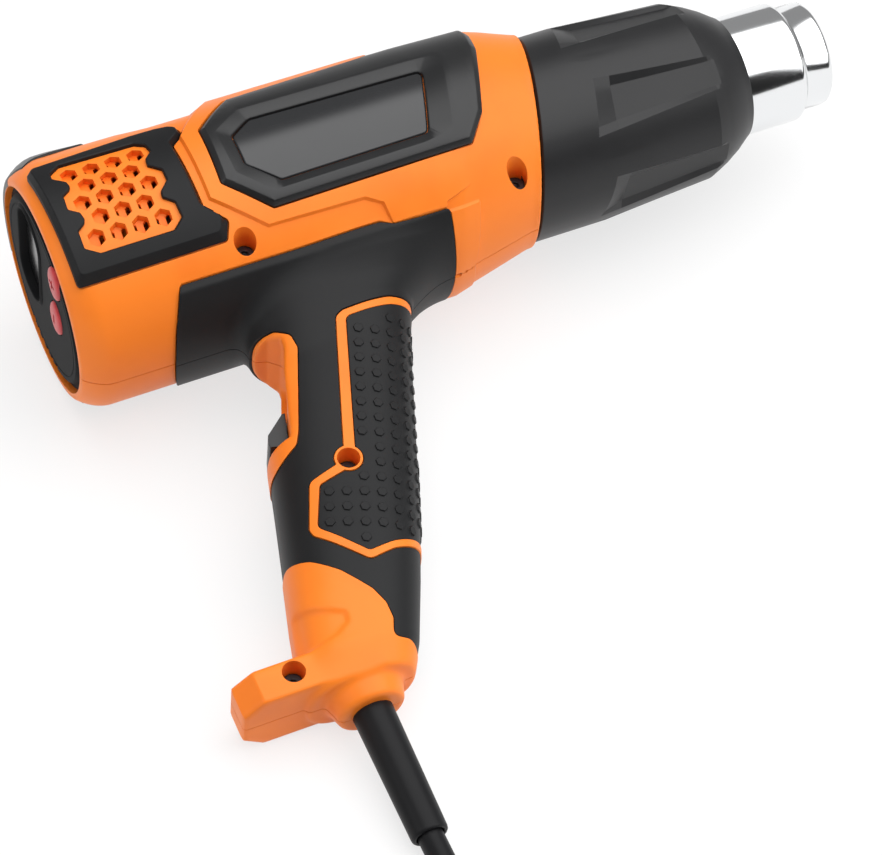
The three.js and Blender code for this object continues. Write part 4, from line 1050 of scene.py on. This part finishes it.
pieces = [
    ("housing", "housing", makeHousing, 30, None),
    ("overmould", "overmould", makeOvermould, 30, None),
    ("texturedGrip", "textured_grip", makePad, 30, None),
    ("sidePanel", "side_panel", makePanel, 20, None),
    ("panelWindow", "panel_window", makeWindow, 20, None),
    ("ventFrame", "vent_frame", makeVentFrame, 20, "matteBlack"),
    ("ventGrille", "vent_grille", makeGrille, 30, None),
]
for title, node, make, angle, finish in pieces:
    right = make()
    right.name = title + "Right"
    left = mirrored(right, title + "Left")
    place(right, [node + "_right"], angle=angle, finish=finish)
    place(left, [node + "_left"], angle=angle, finish=finish)
    print(title, len(right.data.polygons), "faces")
drop(outer, softOuter, skinCore, recessCore, shellCore)

# Front sleeve: closed profiles round the axis, whose columns follow the edges of the flutes

sleeve = {
    "gap": 0.6,
    "stations": ([164.4, 221.5, 224, 228, 232.6, 236.8, 237.6], [33.4, 29.8, 28.8, 27, 24.4, 21.4, 20.9]),
    "front": 237.6, "rimBore": 20.35, "rim": 3, "boreFront": (221, 26.6), "bore": 29.3, "boreRear": 176,
    "neck": 7, "neckRadius": 30.2,
    "columns": (205, 213, 221.5, 222.8, 224, 225, 226.4, 228, 230.3, 232.6, 234.7, 236.8),
    "flutes": 6, "turn": -2.8, "fluteRear": 181, "fluteFront": 221.5, "half": (16.6, 10.9),
    "wall": (5.5, 2.6), "depth": (1.8, 1.3), "skew": 0.127,
    "ramp": [(6.5, 0.6), (14, 0.2)],  # behind the rear edge, and how much of the skew is left there
}


def sleeveRadius(x):
    return float(np.interp(x, *sleeve["stations"]))


# Column angles in degrees from a flute's middle, and whether each lies on the flute's floor
def fluteColumns(half, wall):
    sector = 180 / sleeve["flutes"]
    before = [(-sector + (sector - half) * i / 6, False) for i in range(7)]
    floor = [(-half + wall + 2 * (half - wall) * i / 7, True) for i in range(8)]
    after = [(half + (sector - half) * i / 6, False) for i in range(6)]
    return before + floor + after


# The flutes narrow and get shallower to the front; their rear ends are skewed
def sleeveLoop(at, cut=0.0, share=0.0, radius=None, skew=0.0):
    ends = [sleeve["fluteRear"], sleeve["fluteFront"]]
    half, wall, depth = (float(np.interp(at, ends, sleeve[key])) for key in ("half", "wall", "depth"))
    level = (sleeveRadius(min(at, sleeve["fluteFront"])) - depth) * math.cos(math.radians(half - wall))
    loop = []
    for flute in range(sleeve["flutes"]):
        centre = sleeve["turn"] + 360 / sleeve["flutes"] * flute
        for degrees, onFloor in fluteColumns(half, wall):
            angle = math.radians(centre + degrees)
            r = (radius or sleeveRadius(at)) - cut
            if onFloor and share:
                r -= share * max(0, r - level / math.cos(math.radians(degrees)))
            x = at - skew * sleeve["skew"] * max(-half, min(half, degrees))
            loop.append((x, r * math.cos(angle), r * math.sin(angle)))
    return loop


# Moves a loop's points to the slanted rear edge, or part of the way there
def slanted(loop, share, ahead=0.0):
    moved = []
    for x, y, z in loop:
        edge = form["collarX"] + form["rake"] * y + sleeve["gap"] + ahead
        moved.append((x + (edge - x) * share, y, z))
    return moved


def makeSleeve():
    start = sleeve["fluteRear"]
    first = sleeveLoop(start, skew=1)
    outside = [slanted(sleeveLoop(start, 0.6), 1), slanted(sleeveLoop(start), 1, 0.6)]
    outside += [slanted(first, share) for share in (0.7, 0.4, 0.15)]
    outside += [first]
    outside += [sleeveLoop(start + by, share=1, skew=skew) for by, skew in sleeve["ramp"]]
    outside += [sleeveLoop(x, share=1) for x in sleeve["columns"]]
    front, rear, rim, neck = (sleeve[key] for key in ("front", "boreRear", "rimBore", "neck"))
    outside += [sleeveLoop(front)]
    inside = [(front, rim), (front - sleeve["rim"], rim), sleeve["boreFront"], (rear, sleeve["bore"])]
    loops = outside + [sleeveLoop(x, radius=r) for x, r in inside]
    loops += [slanted(sleeveLoop(rear, radius=sleeve["bore"]), 1, -neck)]
    loops += [slanted(sleeveLoop(rear, radius=sleeve["neckRadius"]), 1, ahead) for ahead in (-neck, 0)]
    return rings("heatSleeve", loops)


nozzle = {"rear": 162.8, "flange": 26, "radius": 20, "step": 258.5, "tipRadius": 17.5, "wall": 0.9}


def makeNozzle():
    rear, flange, radius, step = (nozzle[key] for key in ("rear", "flange", "radius", "step"))
    small, inner, tip = nozzle["tipRadius"], radius - nozzle["wall"], form["nozzleTip"]
    return turned("nozzleTube", [
        (rear, inner), (rear, flange), (rear + 1.2, flange), (rear + 1.2, radius), (238, radius),
        (step - 2, radius), (step - 1.2, radius - 0.15), (step - 0.5, radius - 0.6), (step, small + 1),
        (step + 0.4, small + 0.35), (step + 1, small), (tip - 1.8, small), (tip - 0.9, small - 0.2),
        (tip - 0.3, small - 0.8), (tip, small - 1.5), (tip - 0.1, small - 2), (tip - 0.8, small - 2.3),
        (step + 0.2, small - 1.9), (step - 1.4, inner),
    ], 160)


guard = {"root": -169.6, "length": 46.5, "flange": 8.4, "base": 6.3, "tip": 5.7, "bore": 4.4}


def makeGuard():
    end, bore, flange, base, tip = (guard[key] for key in ("length", "bore", "flange", "base", "tip"))
    built = turned("cordGuard", [
        (-4, bore), (-4, flange - 0.4), (-3.6, flange), (-1.4, flange), (-1, flange - 0.4), (-1, base),
        (1, base), (end - 1.2, tip), (end - 0.5, tip - 0.15), (end - 0.1, tip - 0.5), (end, tip - 0.9),
        (end - 0.2, bore),
    ], 96)
    turn = Matrix.Rotation(math.radians(-90), 4, "Z")
    built.data.transform(Matrix.Translation((cup["x"], guard["root"], 0)) @ turn)
    return built


# Rear cover with its display and buttons; x points into the tool

cover = {
    "radius": 33.4, "face": 0.1, "front": 2.8, "edge": 30.4, "groove": 2.0, "slots": 6, "slotWidth": 2.2,
    "slotFrom": -112, "slotStep": 8, "slot": [(-2, 28.6), (1.2, 28.6), (1.2, 36), (-2, 36)], "cut": (-4, 5),
}
display = {
    "y": 10.3, "z": 5.5, "height": 17.6, "width": 37, "corner": 8, "rim": 1.7, "proud": 0.6, "glass": 1.9,
}
buttons = {
    "button_up": {"y": -12.8, "z": 21, "sign": "+", "body": "upper_button"},
    "button_down": {"y": -13.6, "z": 3.5, "sign": "-", "body": "lower_button"},
}
buttonSize = {"height": 4.7, "width": 6.8, "proud": 0.9, "foot": 3.0, "mark": (2.2, 0.5), "markDepth": 0.35}


# A loop in a plane of constant x: a rectangle with rounded corners
def roundedLoop(x, box, shrink=0.0, steps=10):
    h, w = box["height"] / 2 - shrink, box["width"] / 2 - shrink
    r = max(box["corner"] - shrink, 0.3)
    loop = []
    for quarter, (sy, sz) in enumerate([(1, 1), (-1, 1), (-1, -1), (1, -1)]):
        for i in range(steps):
            angle = math.radians(90 * quarter + 90 * i / (steps - 1))
            y = box["y"] + sy * (h - r) + r * math.cos(angle)
            loop.append((x, y, box["z"] + sz * (w - r) + r * math.sin(angle)))
    return loop


# Loops of equally many points, joined in order and capped at both ends
def capped(name, loops):
    points = [p for loop in loops for p in loop]
    around = len(loops[0])
    faces = [tuple(range(around)), tuple(range(len(points) - around, len(points)))[::-1]]
    for i in range(len(loops) - 1):
        a, b = i * around, (i + 1) * around
        faces += [(a + j, a + (j + 1) % around, b + (j + 1) % around, b + j) for j in range(around)]
    return outward(solid(name, points, faces))


# A button's outline in a plane of constant x
def oval(x, button, grow=0.0, scale=1.0, count=48):
    h, w = (buttonSize["height"] + grow) * scale, (buttonSize["width"] + grow) * scale
    steps = [2 * math.pi * i / count for i in range(count)]
    return [(x, button["y"] + h * math.cos(a), button["z"] + w * math.sin(a)) for a in steps]


def makeCover():
    face, front, edge, radius, groove = (cover[key] for key in ("face", "front", "edge", "radius", "groove"))
    disc = turned("rearCover", [
        (front, 0), (face, 0), (face, edge - 2.6), (face + 0.35, edge - 2.3), (face, edge - 2),
        (face, edge - 0.5), (face + 0.3, edge), (groove - 0.4, edge + 0.8), (groove, edge + 1.2),
        (groove, radius - 0.3), (groove + 0.3, radius), (front, radius),
    ], 160)
    boolean(disc, "DIFFERENCE", capped("cutter", [roundedLoop(x, display, -1.2) for x in cover["cut"]]))
    rim, proud = display["rim"], face - display["proud"]
    frame = rings("cutter", [
        roundedLoop(x, display, shrink) for x, shrink in [
            (front, -rim), (face - 0.1, -rim), (proud + 0.3, 0.3 - rim), (proud, 0.8 - rim), (proud, -0.7),
            (proud + 0.2, -0.25), (proud + 0.8, 0), (front, 0.3),
        ]
    ])
    boolean(disc, "UNION", frame)
    tools = [capped("cutter", [oval(x, button, fit) for x in cover["cut"]]) for button in buttons.values()]
    half = cover["slotWidth"] / 2
    for i in range(cover["slots"]):
        slot = prism("cutter", cover["slot"], -half, half)
        slot.data.transform(Matrix.Rotation(math.radians(cover["slotFrom"] + i * cover["slotStep"]), 4, "X"))
        tools.append(slot)
    return boolean(disc, "DIFFERENCE", *tools)


def makeDisplay():
    glass = display["glass"]
    steps = [(glass + 1.8, 0.6), (glass + 0.3, 0.6), (glass, 0.9)]
    return capped("displayWindow", [roundedLoop(x, display, shrink) for x, shrink in steps])


def makeButton(node):
    button = buttons[node]
    y, z, proud = button["y"], button["z"], buttonSize["proud"]
    crown = [(0.9, 1), (0.5, 0.95), (0.2, 0.84), (0, 0.6)]
    loops = [(buttonSize["foot"], 1)] + [(x - proud, scale) for x, scale in crown]
    built = capped(node.replace("_", "") + "Cap", [oval(x, button, 0, scale) for x, scale in loops])
    long, short = buttonSize["mark"]
    above, depth = -proud - 1, buttonSize["markDepth"] - proud
    for h, w in [(short, long)] + ([(long, short)] if button["sign"] == "+" else []):
        bar = [(above, y - h), (depth, y - h), (depth, y + h), (above, y + h)]
        boolean(built, "DIFFERENCE", prism("cutter", bar, z - w, z + w))
    return built


single = [
    ("heat_sleeve", makeSleeve, 12, None),
    ("nozzle", makeNozzle, 50, None),
    ("cord_guard", makeGuard, 50, None),
    ("rear_cover", makeCover, 30, "coverBlack"),
    ("display_window", makeDisplay, 30, "displayGlass"),
    ("crown_trim", trimPlate, 20, None),
]
for node, make, angle, finish in single:
    built = place(make(), [node], angle=angle, finish=finish)
    print(built.name, len(built.data.polygons), "faces")
for node, button in buttons.items():
    place(makeButton(node), [node], button["body"], 40)

# The supply cord, from the guard's mouth through its coil to the plug

cord = {
    "radius": 4, "floor": 4.05, "free": 75, "lead": 3, "bore": 12,
    "mouth": -214.1, "leaving": -219.5, "sag": [(22, 0.35), (34, 0.05), (50, 0)],
    "tail": (12, 6),  # straight ends of the bend from the coil to the plug
    # The coil's first layer winds inwards, and the second back out on top of it
    "gap": 1.5, "outer": 60.6, "turns": 3, "climb": 0.5, "steps": 44,
}


def cordPath():
    mouth, leaving = toFloor(cup["x"], cord["mouth"] - fit, 0), toFloor(cup["x"], cord["leaving"], 0)
    floor = cord["floor"] * mm
    sag = cord["sag"] + [(cord["free"], 0)]
    knots = [Vector((mouth.x, mouth.y - away * mm, floor + above * mm)) for away, above in sag]
    route = throughKnots([mouth, leaving] + knots, 6)
    pitch = (2 * cord["radius"] + cord["gap"]) * mm
    centre = Vector((mouth.x - cord["outer"] * mm, mouth.y - (cord["free"] + fit + cord["lead"]) * mm, 0))
    perLayer, climb = cord["turns"], cord["climb"]
    turns = 2 * perLayer + climb
    steps = round(turns * cord["steps"])
    for i in range(steps + 1):
        turn = i / steps * turns
        above = min(max((turn - perLayer) / climb, 0), 1) * pitch
        inwards, outwards = min(turn, perLayer), max(turn - perLayer - climb, 0)
        radius = cord["outer"] * mm - pitch * inwards + pitch * outwards
        angle = -turn * 2 * math.pi
        step = Vector((radius * math.cos(angle), radius * math.sin(angle), floor + above))
        route.append(centre + step)
    end = route[-1]
    plugLow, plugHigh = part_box("plug_body")
    plugX, plugZ = (plugLow.x + plugHigh.x) / 2, (plugLow.z + plugHigh.z) / 2
    leave, arrive = (length * mm for length in cord["tail"])
    tail = [
        end, end + Vector((0, leave, 0)), Vector((plugX, plugLow.y - arrive, plugZ)),
        Vector((plugX, plugLow.y + (cord["bore"] - fit) * mm, plugZ)),
    ]
    return route + throughKnots(tail, 4)[1:]


# A smooth curve through the knots
def throughKnots(knots, steps):
    route = []
    last = len(knots) - 1
    for i in range(last):
        p0, p1, p2, p3 = knots[max(i - 1, 0)], knots[i], knots[i + 1], knots[min(i + 2, last)]
        for k in range(steps):
            t = k / steps
            bend = 2 * p0 - 5 * p1 + 4 * p2 - p3
            twist = 3 * p1 - p0 - 3 * p2 + p3
            route.append(0.5 * (2 * p1 + (p2 - p0) * t + bend * t * t + twist * t**3))
    return route + [knots[-1]]


def makeCord():
    route = cordPath()
    data = bpy.data.curves.new("supplyCord", "CURVE")
    data.dimensions = "3D"
    data.bevel_depth = cord["radius"] * mm
    data.bevel_resolution = 5
    data.use_fill_caps = True
    line = data.splines.new("POLY")
    line.points.add(len(route) - 1)
    for point, where in zip(line.points, route):
        point.co = (*where, 1)
    line.use_smooth = True
    built = bpy.data.objects.new("supplyCord", data)
    bpy.context.scene.collection.objects.link(built)
    data.materials.append(finishes["cord_rubber"])
    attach(built, "housing")
    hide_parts("cord_free", "cord_coil")
    length = sum((b - a).length for a, b in zip(route, route[1:]))
    print("cord length", round(length, 3))


makeCord()

# Floor, light and background

stage = {"half": 3, "glow": 0.72}


def makeStage():
    half = stage["half"]
    square = [(-half, -half, 0), (half, -half, 0), (half, half, 0), (-half, half, 0)]
    floor = solid("floor", square, [(0, 1, 2, 3)])
    finish = Finish("paleFloor")
    seen = [finish.add("LightPath", out=f"Is {kind} Ray") for kind in ("Camera", "Glossy", "Transmission")]
    glow = finish.add("Emission", Color=(1, 1, 1, 1), Strength=1.0)
    finish.surface(Base_Color=(0.9, 0.9, 0.9, 1), Roughness=0.9, Specular_IOR_Level=0.1)
    body = Value(finish, finish.shader.outputs[0])
    share = (seen[0] + seen[1] + seen[2]).smooth(0, 1) * stage["glow"]  # the rest keeps the shadow
    shown = finish.add("MixShader", i0=share, i1=body, i2=glow)
    finish.feed(finish.tree.nodes["Material Output"], Surface=shown)
    floor.data.materials.append(finish.material)


lights = [
    # place, size and power; each is aimed at the middle of the tool
    ((-1.5, -0.2, 0.9), 1.0, 5),
    ((1.3, -0.9, 0.8), 1.0, 5),
]
# One broad light overhead, a dim back and a dark front
sky = {
    "centre": (0.3, -0.12, 0.95), "edge": (0.7, 0.82), "level": 2.5,
    "back": 0.3, "front": 0.02, "fade": (-0.85, 0.3),
}


def makeLights():
    for i, (where, size, power) in enumerate(lights):
        data = bpy.data.lights.new(f"softbox{i}", "AREA")
        data.size = size
        data.energy = power
        lamp = bpy.data.objects.new(f"softbox{i}", data)
        lamp.location = where
        lamp.rotation_euler = (-Vector(where)).to_track_quat("-Z", "Y").to_euler()
        bpy.context.scene.collection.objects.link(lamp)
    world = bpy.data.worlds.new("studio")
    world.use_nodes = True
    graph = Graph(world.node_tree)
    around = graph.add("TexCoord", out="Generated")
    x, y, z = (graph.add("SeparateXYZ", out=i, Vector=around) for i in range(3))
    a, b, c = sky["centre"]
    dim = y.smooth(*sky["fade"]) * (sky["back"] - sky["front"]) + sky["front"]
    level = (x * a + y * b + z * c).smooth(*sky["edge"]) * sky["level"] + dim
    seen = graph.add("LightPath", out="Is Camera Ray")
    shown = graph.add("Mix", {"data_type": "FLOAT"}, i0=seen, i2=level, i3=1.0)
    graph.feed(graph.tree.nodes["Background"], Color=shown)
    bpy.context.scene.world = world


makeStage()
makeLights()
bpy.context.scene.view_settings.view_transform = "Standard"
print("stage and lights made")
